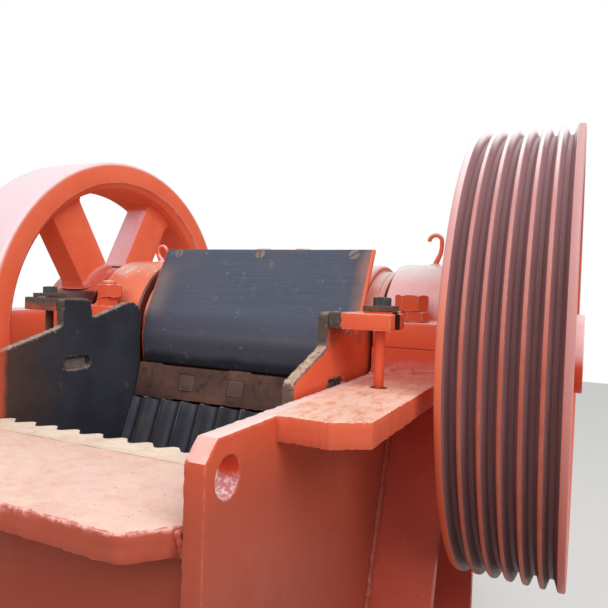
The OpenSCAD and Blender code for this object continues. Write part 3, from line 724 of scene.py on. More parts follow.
def deflector_steel(name):
    """Blue-black plate, rubbed in long level streaks, with orange overspray at both margins."""
    m = Look(name)
    broad = m.noise(3.2)
    streak = m.noise(1, 6, 0.7, stretch=(5, 150, 150))
    hair = m.noise(1, 4, 0.7, stretch=(14, 620, 620), shift=3)
    m.colour = m.mix(m.span(streak, 0.3, 0.7), (0.056, 0.068, 0.104), (0.078, 0.092, 0.138))
    m.lay(m.span(hair, 0.58, 0.74, 0.0, 0.35), (0.15, 0.165, 0.22))
    m.lay(m.span(broad, 0.45, 0.7, 0.0, 0.5), (0.05, 0.07, 0.098))
    # Darker toward the lower edge, and a near-black painted shadow where it turns under the head.
    low = m.z + m.stray(0.04, 6, shift=7)
    m.lay(m.blot(4, 0.45, 0.7, 0.0, 0.35, shift=9), (0.115, 0.1, 0.12))
    m.lay(m.span(low, 1.3, 1.2, 0.0, 0.55), (0.098, 0.08, 0.098))
    m.lay(m.span(low, 1.166, 1.138, 0.0, 0.85), (0.02, 0.02, 0.027))
    scuff = (m.blot(30, 0.58, 0.68, detail=5, rough=0.75, shift=17)
        * m.blot(5, 0.42, 0.62, 0.1, 0.6, detail=3, rough=0.5, shift=19))
    m.lay(scuff, (0.17, 0.205, 0.26))
    m.lay(m.specks(34, 0.085, 2, 0.2), (0.42, 0.43, 0.46))
    m.lay(m.specks(16, 0.09, 9, 0.1) * 0.5, (0.3, 0.24, 0.22))
    haze = m.stray(0.07, 9, shift=12)
    right = m.span(m.x + haze, 0.312, 0.366, 0.0, 0.85)
    middle = m.span(m.z, 1.46, 1.38) * m.span(m.z, 1.24, 1.32)
    left = m.span(m.x * -1.0 + haze, 0.262, 0.352, 0.0, 0.62) * middle
    m.lay(right * m.span(m.z, 1.2, 1.3, 0.35, 0.85), (0.46, 0.21, 0.15))
    m.lay(left, (0.27, 0.205, 0.18))
    ragged = m.x + m.stray(0.006, 90, rough=0.7, shift=14)
    hard = m.either(m.span(ragged, 0.352, 0.3535), m.span(ragged, -0.3575, -0.3595))
    m.lay(hard, (0.8, 0.17, 0.09))
    m.lay(m.edges(0.003) * m.blot(60, 0.5, 0.62, 0.0, 0.8, rough=0.7), (0.56, 0.38, 0.32))
    height = streak * 0.6 + m.noise(11, 3, 0.5) * 1.5
    return m.done(m.span(streak, 0.3, 0.75, 0.36, 0.5), height, 0.2, 0.002, 0.5)


def rust(name, base, light, dark, rough=0.75, wear=0.5, squares=()):
    """Rusty iron: base with light and dark patches, pits and worn edges; squares as on the wedge bar."""
    m = Look(name)
    mid = m.noise(22, 5, 0.65)
    fine = m.noise(140, 4, 0.7, shift=3)
    m.colour = m.mix(m.blot(7, 0.35, 0.7, shift=5), base, light)
    m.lay(m.span(mid, 0.5, 0.72, 0.0, 0.8), dark)
    m.lay(m.span(fine, 0.55, 0.75, 0.0, 0.5), light)
    m.lay(m.specks(45, 0.1, 4, 0.2) * 0.7, (0.3, 0.24, 0.2))
    rim = m.edges(0.004) * m.blot(70, 0.42, 0.6, 0.0, wear, rough=0.7, shift=9)
    m.lay(rim, (0.28, 0.2, 0.155))
    for px in squares:
        # The cast squares stand out by a worn outline, and a painted shadow along their foot.
        du = abs(m.x - px / 1000) / (SQUARE_W / 1000)
        dv = abs(m.z - (SQUARE_Z + SHAFT_H) / 1000) / (SQUARE_H / 1000)
        ring = m.either(du, dv)
        worn = m.span(abs(ring - 0.98), 0.075, 0.03) * m.span(mid, 0.3, 0.6, 0.4, 0.85)
        m.lay(m.span(ring, 1.0, 0.93, 0.0, 0.35), (0.17, 0.115, 0.105))
        m.lay(worn * 0.42, (0.27, 0.185, 0.15))
        m.lay(m.span(abs(ring - 1.12), 0.07, 0.02, 0.0, 0.85), (0.024, 0.016, 0.016))
    height = mid * 1.4 + fine * 0.7
    return m.done(rough, height, 0.5, 0.0028, 0.35)


def jaw_steel(name, phase, lean, base=(0.036, 0.036, 0.046), top=(0.6, 0.49, 0.37)):
    """Manganese casting of a jaw die: thin pale lines along the tooth crests, tan on the cut end."""
    m = Look(name)
    mid = m.noise(18)
    m.colour = m.mix(m.span(mid, 0.35, 0.7), base, shade(base, 1.4))
    teeth = m.x * (2 * pi * 1000 / TOOTH_PITCH)
    wave = m.math("COSINE", teeth + (phase + 0.35))
    # Crests are painted darker and grooves lighter, a painted shade that evens out the lamp's shading of the
    # teeth.
    lift = m.math("COSINE", teeth + phase)
    m.colour = m.mix(m.span(lift, -0.9, 0.9, 0.0, 1.0), shade(base, 1.55), shade(base, 0.8))
    line = m.span(wave, 0.972, 0.998) * m.blot(9, 0.35, 0.6, 0.25, 0.9, stretch=(3, 1, 1), shift=2)
    m.lay(line, (0.17, 0.165, 0.175))
    m.lay(m.blot(5, 0.5, 0.75, 0.0, 0.55, shift=5), (0.085, 0.05, 0.04))
    face_up = m.span(m.up, lean, 0.99)
    sand = m.mix(m.blot(34, 0.3, 0.75, detail=5, rough=0.7, shift=7), top, shade(top, 0.8))
    sand = m.mix(m.blot(6, 0.5, 0.7, 0.0, 0.5, shift=9), sand, (0.62, 0.42, 0.32))
    m.lay(face_up, sand)
    height = mid * 1.6 + m.noise(160, 3, 0.6, shift=4) * 0.6
    return m.done(m.span(mid, 0.3, 0.7, 0.45, 0.68), height, 0.4, 0.0025, 0.45)


def groove_paint(name):
    """Pulley rim: belt-polished brown grooves between painted ridges, streaked round the rim; lighter higher up
    and white on the tops as painted highlights, darker low down as painted shade.
    """
    m = Look(name)
    cy, cz, radius = m.axle()
    ny, nz = cy / radius, cz / radius
    ring = m.value(m.node("CombineXYZ", {0: m.x * 420.0, 1: ny * 4.0, 2: nz * 4.0}))
    shell = m.value(m.node("VectorMath", {0: ring, 1: (0, 0, 0)}, operation="ADD"))
    streak = m.value(m.node("TexNoise", {"Vector": shell, "Scale": 1.0, "Detail": 5.0, "Roughness": 0.7}),
        "Fac")
    belt = m.mix(m.span(streak, 0.3, 0.72), (0.185, 0.078, 0.084), (0.27, 0.128, 0.132))
    belt = m.mix(m.blot(7, 0.5, 0.75, 0.0, 0.5, detail=5, rough=0.65), belt, (0.225, 0.105, 0.092))
    # Painted highlights in the grooves: lighter higher up, white on the tops.
    belt = m.mix(m.span(m.z, 1.35, 1.74, 0.0, 0.75), belt, (0.4, 0.225, 0.245))
    belt = m.mix(m.span(m.up, 0.72, 0.97, 0.0, 0.7), belt, (0.66, 0.5, 0.5))
    caps = m.span(nz, 0.8, 0.93) * m.span(radius, 0.568, 0.583)
    belt = m.mix(caps * 0.95, belt, (0.97, 0.9, 0.88))
    # Painted shade: the grooves darker low down.
    belt = m.mix(m.span(m.z, 1.15, 0.7, 0.0, 0.6), belt, (0.105, 0.052, 0.048))
    rub = m.specks(60, 0.1, 3, 0.22) * m.blot(3, 0.4, 0.6, 0.25, 1.0, detail=3, rough=0.5, shift=13)
    belt = m.mix(rub, belt, (0.5, 0.34, 0.34))
    ragged = radius + m.stray(0.0012, 60, rough=0.7, shift=3)
    ridge = m.mix(m.blot(12, 0.35, 0.7, shift=5), (0.55, 0.145, 0.09), (0.48, 0.112, 0.066))
    # Painted highlights on the ridges: pinker higher up, white on top.
    ridge = m.mix(m.span(m.z, 1.2, 1.52, 0.0, 0.9), ridge, (0.6, 0.26, 0.24))
    ridge = m.mix(m.span(m.up, 0.55, 0.88, 0.0, 0.95), ridge, (0.95, 0.88, 0.87))
    m.colour = m.mix(m.span(ragged, 0.5889, 0.5896), belt, ridge)
    ends = m.either(m.span(m.x, 0.87, 0.8715), m.span(m.x, 0.656, 0.6545))
    # Painted shade and highlights on the rim's sides: darker low down, pinker higher up and along the outer
    # edge, white on the tops.
    side_paint = m.mix(m.span(m.z, 0.9, 1.3), (0.66, 0.12, 0.055), (0.74, 0.17, 0.085))
    side_paint = m.mix(m.span(m.z, 1.22, 1.55, 0.0, 0.92), side_paint, (0.7, 0.37, 0.37))
    side_paint = m.mix(m.span(m.up, 0.45, 0.9, 0.0, 0.95), side_paint, (0.96, 0.9, 0.9))
    side_paint = m.mix(m.span(m.x, 0.8835, 0.8855) * m.span(m.z, 0.7, 0.9), side_paint,
        m.mix(m.span(m.z, 1.1, 1.45), (0.62, 0.24, 0.19), (0.78, 0.52, 0.53)))
    blush = m.span(m.x, 0.86, 0.872) * m.span(m.z, 0.75, 1.45, 0.35, 0.9)
    side_paint = m.mix(blush, side_paint, (0.56, 0.27, 0.265))
    m.lay(ends, side_paint)
    inside = m.span(radius, 0.5565, 0.5545) * m.span(m.x, 0.885, 0.8825)
    m.lay(inside, (0.72, 0.105, 0.045))
    height = streak * 0.8 + m.noise(22) * 1.0
    return m.done(m.span(streak, 0.3, 0.7, 0.36, 0.55), height, 0.25, 0.0018, 0.5)


def bare_steel(name, colour_a, colour_b, metal, rough):
    m = Look(name, metal=metal)
    mid = m.noise(40, 5, 0.65)
    m.colour = m.mix(m.span(mid, 0.35, 0.7), colour_a, colour_b)
    m.lay(m.blot(12, 0.55, 0.75, 0.0, 0.6, shift=4), (0.16, 0.08, 0.05))
    return m.done(m.span(mid, 0.3, 0.7, rough[0], rough[1]), m.noise(180, 3, 0.6), 0.3, 0.001, 0.5)


ORANGE = paint("orange_paint", base=(0.74, 0.125, 0.058), pale=(0.93, 0.76, 0.7), tint=(0.9, 0.56, 0.5),
    dust_and_sheen_from=0.38)
PLATE = paint("orange_plate_paint", base=(0.74, 0.125, 0.058), pale=(0.93, 0.76, 0.7), tint=(0.9, 0.56, 0.5),
    dust_and_sheen_from=0.38, hole=True, speck=0.5, fleck_glints=0.25)
RIB = paint("orange_rib_paint", base=(0.64, 0.095, 0.062), deep=(0.58, 0.075, 0.05), pale=(0.9, 0.6, 0.55),
    dust_and_sheen_from=0.4, grit=0.9, wear=0.08, low_shade=0.35, shift=12, fleck_glints=0.8)
WHEEL = paint("orange_cast_paint", base=(0.9, 0.19, 0.095), deep=(0.82, 0.15, 0.072), pale=(0.95, 0.8, 0.78),
    tint=(0.92, 0.56, 0.63), dust_and_sheen=0.95, dust_and_sheen_from=0.1, rough=(0.26, 0.38), grit=0.15, wear=0.55, speck=0.12,
    shift=20, low_shade=0.0, coat=0.3, round_part=True, dull=0.0, fleck_glints=0.2)
# The two housings share one paint; the right one is painted near white on top as a painted sky reflection, the
# left one stays salmon.
HOUSING = {"left": paint("orange_housing_paint_left", base=(0.9, 0.155, 0.062), deep=(0.84, 0.125, 0.052),
    pale=(0.93, 0.55, 0.43), tint=(0.88, 0.27, 0.16), dust_and_sheen=0.85, dust_and_sheen_from=-0.1, rough=(0.24, 0.36), grit=0.3,
    wear=0.5, speck=0.2, shift=23, low_shade=0.0, coat=0.35, above=1.296, gap_shade=0.4195, glint=0.85),
    "right": paint("orange_housing_paint_right", base=(1.0, 0.2, 0.096), deep=(0.95, 0.165, 0.076),
    pale=(1.0, 0.99, 0.985), tint=(0.97, 0.58, 0.58), dust_and_sheen=1.0, dust_and_sheen_from=-0.12, rough=(0.24, 0.36), grit=0.12,
    wear=0.4, speck=0.08, shift=26, low_shade=0.0, coat=0.35, patch=0.15, above=1.296, gap_shade=0.4165)}
GLOSSY = paint("orange_smooth_paint", pale=(0.94, 0.76, 0.7), tint=(0.88, 0.42, 0.36), dust_and_sheen=0.85,
    dust_and_sheen_from=0.15, rough=(0.27, 0.4), grit=0.15, wear=0.5, speck=0.12, shift=29, low_shade=0.5, coat=0.25)
SEAL = paint("orange_head_paint", pale=(0.96, 0.88, 0.85), tint=(0.88, 0.42, 0.36), dust_and_sheen=0.92, dust_and_sheen_from=0.05,
    rough=(0.27, 0.4), grit=0.3, wear=0.5, speck=0.12, shift=30, low_shade=0.5, coat=0.25, patch=0.2, shade_below=1.165)
FLANGE = paint("orange_flange_paint", seam=True, base=(0.6, 0.105, 0.052), deep=(0.54, 0.085, 0.044),
    pale=(0.92, 0.66, 0.57), dust_and_sheen=0.97, dust_and_sheen_from=0.5, grit=0.5, wear=0.95, speck=0.5, rough=(0.42, 0.6),
    shift=40, patch=0.35)
LEDGE = paint("orange_ledge_paint", base=(0.74, 0.13, 0.06), deep=(0.66, 0.105, 0.05), pale=(0.95, 0.67, 0.53),
    tint=(0.89, 0.43, 0.31), dust_and_sheen=0.92, dust_and_sheen_from=0.5, grit=0.8, wear=1.0, speck=0.95, rough=(0.36, 0.55),
    shift=43, patch=0.85, brush=0.75, gritty=("y", -0.262, -0.18))
GRITTY = paint("orange_weld_paint", pale=(0.88, 0.37, 0.32), tint=(0.82, 0.26, 0.21), dust_and_sheen=0.8, dust_and_sheen_from=0.1,
    grit=1.6, wear=0.6, speck=0.5, shift=60, low_shade=0.9)
PAD = paint("orange_pad_paint", base=(0.97, 0.18, 0.086), deep=(0.88, 0.145, 0.066), dust_and_sheen=0.7, dust_and_sheen_from=0.4,
    grit=0.5, wear=0.6, speck=0.3, shift=66, low_shade=0.0, gritty=("z", 1.212, 1.178))
WELD_LINE = paint("orange_seam_paint", base=(0.54, 0.09, 0.056), deep=(0.48, 0.072, 0.046), dust_and_sheen=0.3, grit=1.8,
    wear=0.0, speck=0.4, fleck_glints=0.9, shift=62, low_shade=0.9)
SHADE = paint("orange_inner_paint", base=(0.25, 0.048, 0.031), deep=(0.21, 0.038, 0.026),
    pale=(0.62, 0.2, 0.14), dust_and_sheen=0.5, grit=0.3, wear=0.3, recess_dark=0.6, rough=(0.5, 0.7), shift=80, low_shade=0.6)
CHEEK = {"left": cheek_steel("cheek_steel_left", sprayed=True), "right": cheek_steel("cheek_steel_right")}
CHEEK_EDGE = {"left": cheek_steel("cheek_edge_steel_left", base=(0.055, 0.045, 0.04), edge=(0.46, 0.36, 0.3),
    wear=0.85, sprayed=True, edged=True, speckle=0.6),
    "right": cheek_steel("cheek_edge_steel_right", base=(0.115, 0.08, 0.066), brown=(0.155, 0.1, 0.078),
    edge=(0.62, 0.43, 0.32), wear=0.9, painted=True, edged=True, speckle=0.5)}
DEFLECTOR = deflector_steel("deflector_steel")
WEDGE = rust("wedge_rust", base=(0.088, 0.046, 0.042), light=(0.185, 0.09, 0.066), dark=(0.036, 0.026, 0.029),
    squares=SQUARE_X)
SLOT_DIRT = rust("slot_dirt", base=(0.08, 0.068, 0.064), light=(0.26, 0.215, 0.19), dark=(0.028, 0.024, 0.024),
    rough=0.85)
RING = paint("orange_ring_paint", pale=(0.97, 0.9, 0.9), tint=(0.9, 0.66, 0.66), dust_and_sheen=0.95, dust_and_sheen_from=-0.3,
    grit=0.4, wear=0.5, speck=0.1, shift=70, low_shade=0.0, coat=0.2)
RUST_DARK = rust("clamp_rust", base=(0.075, 0.05, 0.045), light=(0.16, 0.085, 0.055),
    dark=(0.032, 0.026, 0.028), rough=0.65, wear=0.7)
TOGGLE = rust("toggle_iron", base=(0.1, 0.075, 0.065), light=(0.17, 0.11, 0.08), dark=(0.05, 0.042, 0.04),
    rough=0.6)
FIXED = jaw_steel("fixed_jaw_steel", 0.0, 0.8, top=(1.0, 0.82, 0.66))
MOVING = jaw_steel("moving_jaw_steel", pi, 0.96, base=(0.03, 0.031, 0.043))
GROOVES = groove_paint("pulley_paint")
STEEL = bare_steel("shaft_steel", (0.42, 0.41, 0.4), (0.28, 0.27, 0.26), 0.9, (0.28, 0.45))
NUT_STEEL = bare_steel("nut_steel", (0.085, 0.082, 0.092), (0.045, 0.045, 0.055), 0.3, (0.42, 0.65))


# ---------------------------------------------------------------- frame plates

PLATE_IN, PLATE_OUT, FLANGE_OUT = 414.0, 450.0, 604.0
HOUSING_R = 230.0


def side_plate_outline():
    w0 = atan2(-58, sqrt(HOUSING_R ** 2 - 58 ** 2))
    saddle = sweep((0, 0), HOUSING_R, w0, -pi - w0, 40)
    return [(-1075, -1220), (480, -1220), (480, -388), (336, -58)] + saddle + [(-1045, -58), (-1075, -88)]


def ring2(y, z, r, n):
    return [(y + r * cos(2 * pi * k / n), z + r * sin(2 * pi * k / n)) for k in range(n)]


for s, word in SIDES:
    sh = Shape()
    plate(sh, [side_plate_outline(), ring2(LIFT_Y, LIFT_Z, 31, 48)], PLATE_IN, PLATE_OUT, "x", s, edge=5.5,
        rough=0.7, step=6, seed=s * 3.0, crumble=0.35, hole_edge=4.5)
    # The lifting hole narrows a little toward the inside.
    lathe(sh, [(s * 448.5, 31.6), (s * 444, 30.2), (s * 418, 25.5), (s * 414.6, 26.5), (s * 414.6, 31.6)],
        (0, LIFT_Y, LIFT_Z), "x", 48, over=True)
    make("side_plate_skin_" + word, sh, [PLATE], "frame", ["side_plate_" + word])

    sh = Shape()
    stud_x = 504.0 if s > 0 else 486.0
    outline = rounded([(436, -879), (470, -873), (545, -875), (603.5, -835), (604, -226), (436, -226)],
        {1: 30, 2: 14, 3: 4})
    hole = ring2(stud_x + 1, STUD_Y, 16.6, 24)
    plate(sh, [outline, hole], -103, -57.85, "z", s, edge=3.2, rough=1.5, step=4, seed=s * 7.0 + 1, crumble=1.5,
        hole_edge=1.2, lump=2.0)
    plate(sh, [[(436, 226), (604, 226), (604, 300), (564, 336), (436, 336)]], -103, -57.85, "z", s, edge=3,
        rough=1.0, step=8, seed=s * 9.0)
    make("side_flange_skin_" + word, sh, [LEDGE], "frame", ["side_flange_" + word])

sh = Shape()
outline = [(-414, -806), (-414, -1051), (-383, -1094), (-348, -1130), (348, -1130), (383, -1094), (414, -1051),
    (414, -806)]
plate(sh, [rounded(outline, {2: 18, 3: 26, 4: 26, 5: 18})], -229, -185, "z", 1, edge=8.0, rough=2.2, step=4,
    seed=5.0, crumble=0.2, lump=5.0)
make("front_flange_skin", sh, [FLANGE], "frame", ["front_flange"])

# ---------------------------------------------------------------- welds

RIB_FOOT = -207.6 - 1077 * tan(radians(18.6))
# Each bead's path on the right side, its size, step, seed and roughness.
BEADS = [([(414, -815, -186), (414, -1046, -186)], 5, 4, 0, 0.2),
    ([(409, -1047, -186), (411, -1051, -204), (411, -1053, -228)], 12, 3, 2, 0.22),
    ([(399, -1062, -190), (405, -1061, -206), (407, -1058, -224)], 8, 3, 20, 0.22),
    ([(412, -1056, -229), (413, -1000, -231), (414, -830, -231)], 9, 4, 3, 0.2),
    ([(451, -850, -104), (451, -226, -104)], 7, 5, 4, 0.2),
    ([(451, 228, -104), (451, 330, -104)], 8, 6, 5, 0.2),
    ([(451, -1070, -1179), (451, 475, -1179)], 8, 6, 6, 0.2),
    ([(604, RIB_FOOT, -1179), (470, RIB_FOOT, -1179)], 6, 6, 8, 0.2),
    ([(604, 260, -1179), (470, 260, -1179)], 6, 6, 12, 0.2),
    ([(413, -1051, -235), (413, -1051, -1215)], 7, 6, 13, 0.2),
    ([(413, 480, -400), (413, 480, -1215)], 7, 6, 15, 0.2),
    ([(580, -208, -104), (600, -208, -104)], 6, 5, 18, 0.2)]
sh = Shape()
for s, word in SIDES:
    for y, out in ((-296, -1), (296, 1)):
        for off, up, size in ((0, -52, 13), (6, -55.5, 10), (14, -57.5, 8), (22, -59.5, 7), (30, -61, 6)):
            weld(sh, [(s * 418, y + out * off, up), (s * 602, y + out * off, up)], size, 3, y + s + off, 0.55)
    for path, size, step, seed, rough in BEADS:
        weld(sh, [(s * x, y, z) for x, y, z in path], size, step, s + seed, rough)
weld(sh, [(-408, -1050, -231), (408, -1050, -231)], 8, 5, 31)
make("frame_welds", sh, [GRITTY], "frame")
sh = Shape()
for s, word in SIDES:
    for dy in (-1, 32):
        weld(sh, [(s * 451, dy - 239, -180), (s * 451, RIB_FOOT + dy, -1180)], 10.5, 4, s + dy, 0.35)
    for y in (230, 260):
        weld(sh, [(s * 451, y, -110), (s * 451, y, -1180)], 9, 6, s + y)
make("rib_welds", sh, [WELD_LINE], "frame")

# ---------------------------------------------------------------- bearings

for s, word in SIDES:
    sh = Shape()
    profile = [(410, 96), (410, 150)] + arc(418, HOUSING_R - 8, 8, 180, 89, -15)
    profile += [(470, HOUSING_R), (598, HOUSING_R), (602.5, HOUSING_R - 1.5), (FLANGE_OUT, HOUSING_R - 5),
        (FLANGE_OUT, 96)]
    on_shaft(sh, s, profile, 128)
    lo, hi = sorted((s * PLATE_IN, s * FLANGE_OUT))
    prism(sh, [(lo, -296), (hi, -296), (hi, 296), (lo, 296)], 8, 74, "z", 5, 3)
    for sign in (-1, 1):
        c = Vector((sign * 228.3, 89))
        row = [(c.x, c.y - 15.2)] + sweep(c, 15, -pi / 2, atan2(-c.y, -c.x), 6) + [(sign * 200, 66)]
        sh.rings([[(x, y, z) for y, z in row] for x in (lo + 2, hi - 2)], 0)
    make("bearing_housing_cast_" + word, sh, [HOUSING[word]], "frame", ["bearing_housing_" + word])

    sh = Shape()
    on_shaft(sh, s, [(604, 94), (604, 177), (606, 178), (611, 178), (613.5, 175.5), (614, 152), (616, 149),
        (622, 148), (624, 146), (624, 104), (621, 100), (621, 94)], 72)
    for k in range(10):
        w = 2 * pi * (k + 0.5) / 10
        nut(sh, (s * 613, 164 * cos(w), 164 * sin(w)), (s, 0, 0), 19, 9, turn=k * 0.7)
    make("bearing_cover_cast_" + word, sh, [GLOSSY], "frame", ["bearing_cover_" + word])

    sh = Shape()
    for y in (-256, 256):
        extra = 9 if s < 0 else 0
        lathe(sh, [(-58, 24), (137, 24), (138, 23)], (s * 508, y, 0), "z", 32)
        thread(sh, (s * 508, y, 138), 23, 5 + extra, 4.0, 1.6, 36, dome=3 if s < 0 else 0)
        rough = 2.6 if s < 0 else 0.8
        nut(sh, (s * 512, y, 74), "z", 65, 27, turn=radians(12.4), wear=rough, seed=y)
        nut(sh, (s * 502.5, y, 101), "z", 74, 42, turn=radians(8), wear=rough + 0.2, seed=y + 3)
    make("housing_nuts_" + word, sh, [paint("nut_paint_" + word, grit=3.0 if s < 0 else 0.6, wear=0.9, dust_and_sheen=0.8,
        speck=0.2, shift=90 + s, low_shade=0.0, tint=(0.9, 0.5, 0.42))], "frame", ["housing_bolts_" + word])

    sh = Shape()
    top = 299.0 if s > 0 else 268.0
    lathe(sh, [(224, 17), (230, 17), (232.5, 14), (234.5, 9)], (s * 500, 0, 0), "z", 24)
    if s > 0:
        bend = [(501, 229), (503, 238), (508.5, 250), (514.5, 264), (517.3, 280), (517.6, 291)]
    else:
        bend = [(499, 229), (501, 236), (508, 244), (515, 254), (517.3, 262)]
    stem = curve2(bend, 4)
    path = stem + arc(499, top, 18.5, 0, 190, 12)
    sizes = [8.6 - 2.4 * min(1, k / (len(stem) * 0.75)) for k in range(len(path))]
    tube(sh, [(s * x, 0, z) for x, z in path], sizes[:-1] + [5.0], 16)
    make("lifting_hook_bar_" + word, sh, [WHEEL], "frame", ["lifting_hook_" + word])

# ---------------------------------------------------------------- wheels


def spoke(sh, side, angle, x_mid, hub, rim):
    """A cast spoke that flares into the hub and the rim."""
    n, fillet, power, half_u, half_x = 40, 26.0, 12.0, 70.0, 53.0
    section = []
    for k in range(n):
        c, s = cos(2 * pi * k / n), sin(2 * pi * k / n)
        r = (abs(c / half_u) ** power + abs(s / half_x) ** power) ** (-1 / power)
        section.append((c * r, s * r))
    stations = [196, 202, 206, 210, 215, 221, 228, 236, 262, 330, 400, 440]
    stations += [rim - q for q in (34, 27, 20, 14, 9, 5, 1, -4, -9)]
    rows = []
    cu, su = cos(angle), sin(angle)
    for rho in stations:
        row = []
        for u, x in section:
            near = min(max(hypot(u, rho) - hub, 0), max(rim - hypot(u, rho), 0), fillet)
            flare = fillet - sqrt(max(0, fillet ** 2 - (fillet - near) ** 2))
            k = 1 + flare / max(hypot(u, x), 1)
            uu, xx = u * k, x_mid + x * k
            row.append((side * xx, rho * cu - uu * su, rho * su + uu * cu))
        rows.append(row)
    sh.rings(rows, 0)


def wheel(s, name, node, grooved):
    sh = Shape()
    x0, x1, r1 = 640.0, 886.0, WHEEL_R
    mid = (x0 + x1) / 2
    # The bore of the rim: a worn bevel, a shallow step and a slightly crowned middle band.
    half = [(0.5, 519), (2.5, 516.5), (9, 514), (12, 511), (20, 500), (27, 495.5), (34, 494.6), (36, 492.2),
        (46, 490), (80, 488.6), (123, 488)]
    inner = [(x1 - t, r) for t, r in half] + [(x0 + t, r) for t, r in reversed(half[:-1])]
    if grooved:
        # Each point of a groove's flank: how far from its middle, and how deep.
        flank = [(17, 0.2), (14.8, 0.6), (13.3, 1.9), (12.4, 4), (5.6, 24.5), (4.2, 26)]
        outer = [(x0, 521), (x0, r1 - 5), (x0 + 1.5, r1 - 1.5), (x0 + 5, r1)]
        for k in range(6):
            c = mid + (k - 2.5) * GROOVE_PITCH
            outer += [(c - t, r1 - d) for t, d in flank] + [(c + t, r1 - d) for t, d in reversed(flank)]
        outer += [(x1 - 5, r1), (x1 - 1.5, r1 - 1.5), (x1, r1 - 5), (x1, 521)]
    else:
        r = 13.0
        outer = [(x0, 521)] + arc(x0 + r, r1 - r, r, 180, 89, -15)
        outer += arc(x1 - r, r1 - r, r, 90, -1, -15) + [(x1, 521)]
    on_shaft(sh, s, outer + inner, 176, 1 if grooved else 0)
    hub = [(650, 95), (650, 140), (654, 146), (654, 178), (651, 188), (651, 196), (653, 202), (659, 205),
        (867, 205), (873, 202), (875, 196), (875, 188), (871, 178), (871, 146), (876, 140), (876, 95)]
    on_shaft(sh, s, hub, 96)
    for k in range(6):
        spoke(sh, s, radians(122 + 60 * k), mid, 205.0, 490.5)
    make(name, sh, [WHEEL, GROOVES], "rotor", [node], sharp=30)


wheel(-1, "flywheel_cast", "flywheel", False)
wheel(1, "pulley_cast", "pulley", True)

for s, word in SIDES:
    sh = Shape()
    on_shaft(sh, s, [(876.5, 93), (876.5, 103), (877.5, 104), (900, 104), (902, 102), (902, 62), (900, 60),
        (893, 60), (893, 93)], 64)
    on_shaft(sh, s, [(892.5, 62), (897, 62), (898.5, 60), (898.5, 12), (893, 8)], 48, over=False)
    for k in range(4):
        w = pi / 4 + k * pi / 2
        nut(sh, (s * 895, 82 * cos(w), 82 * sin(w)), (s, 0, 0), 17, 6.8, turn=k * 0.9)
    make("lock_ring_cast_" + word, sh, [RING], "rotor", ["lock_ring_" + word])

# ---------------------------------------------------------------- jaws and cheeks

JAW_FOOT = -294 - 950 * sin(NIP), -198 - 950 * cos(NIP)


def on_swing(x, w, v):
    """A point of the moving jaw die: w back from its crests, v up from its foot."""
    return x, JAW_FOOT[0] + w * cos(NIP) + v * sin(NIP), JAW_FOOT[1] - w * sin(NIP) + v * cos(NIP)


def die(name, node, half, length, phase, to3, mat, body, worn):
    sh = Shape()
    count = 24 * round(2 * half / TOOTH_PITCH)
    rows = []
    levels = [0, 1.2, 4] + [length * k / 26 for k in range(1, 26)] + [length - 4, length - 1.2, length]
    for v in levels:
        end = min(v, length - v)
        inset = 3.2 - sqrt(max(0, 3.2 ** 2 - max(0, 3.2 - end) ** 2)) if end < 3.2 else 0
        row = []
        for k in range(count + 1):
            x = -half + 2 * half * k / count
            w = 13 * (1 - cos(2 * pi * x / TOOTH_PITCH + phase))
            # Crests are a little flattened by wear.
            w = max(w, 1.2 + 0.9 * wob(x / 60, v / 130, worn)) + inset
            row.append(to3(max(-half + inset, min(half - inset, x)), w, v))
        row.append(to3(half - inset, 82 - inset, v))
        row.append(to3(-half + inset, 82 - inset, v))
        rows.append(row)
    sh.rings(rows, 0)
    make(name, sh, [mat], body, [node], sharp=40)


die("fixed_jaw_cast", "fixed_jaw", 375.0, 920.0, 0.0, lambda x, w, v: (x, -724 - w, -1110 + v), FIXED, "frame",
    3.0)
die("moving_jaw_cast", "moving_jaw", 370.0, 950.0, pi, on_swing, MOVING, "swing", 8.0)


def cheek_outline(nose):
    return rounded([(nose, -30), (-560, 27), (-562, 40), (-562, 102), (-466, 102), (-457, 90), (-450, 48),
        (-310, 90), (-290, 92), (-272, 88), (-264, 83), (-252, 68), (-246, 50), (-246, -330),
        (JAW_FOOT[0] + 110, -1110), (nose, -1110)], {0: 16, 1: 14, 3: 12, 4: 12, 5: 8, 6: 5, 7: 20, 8: 10})


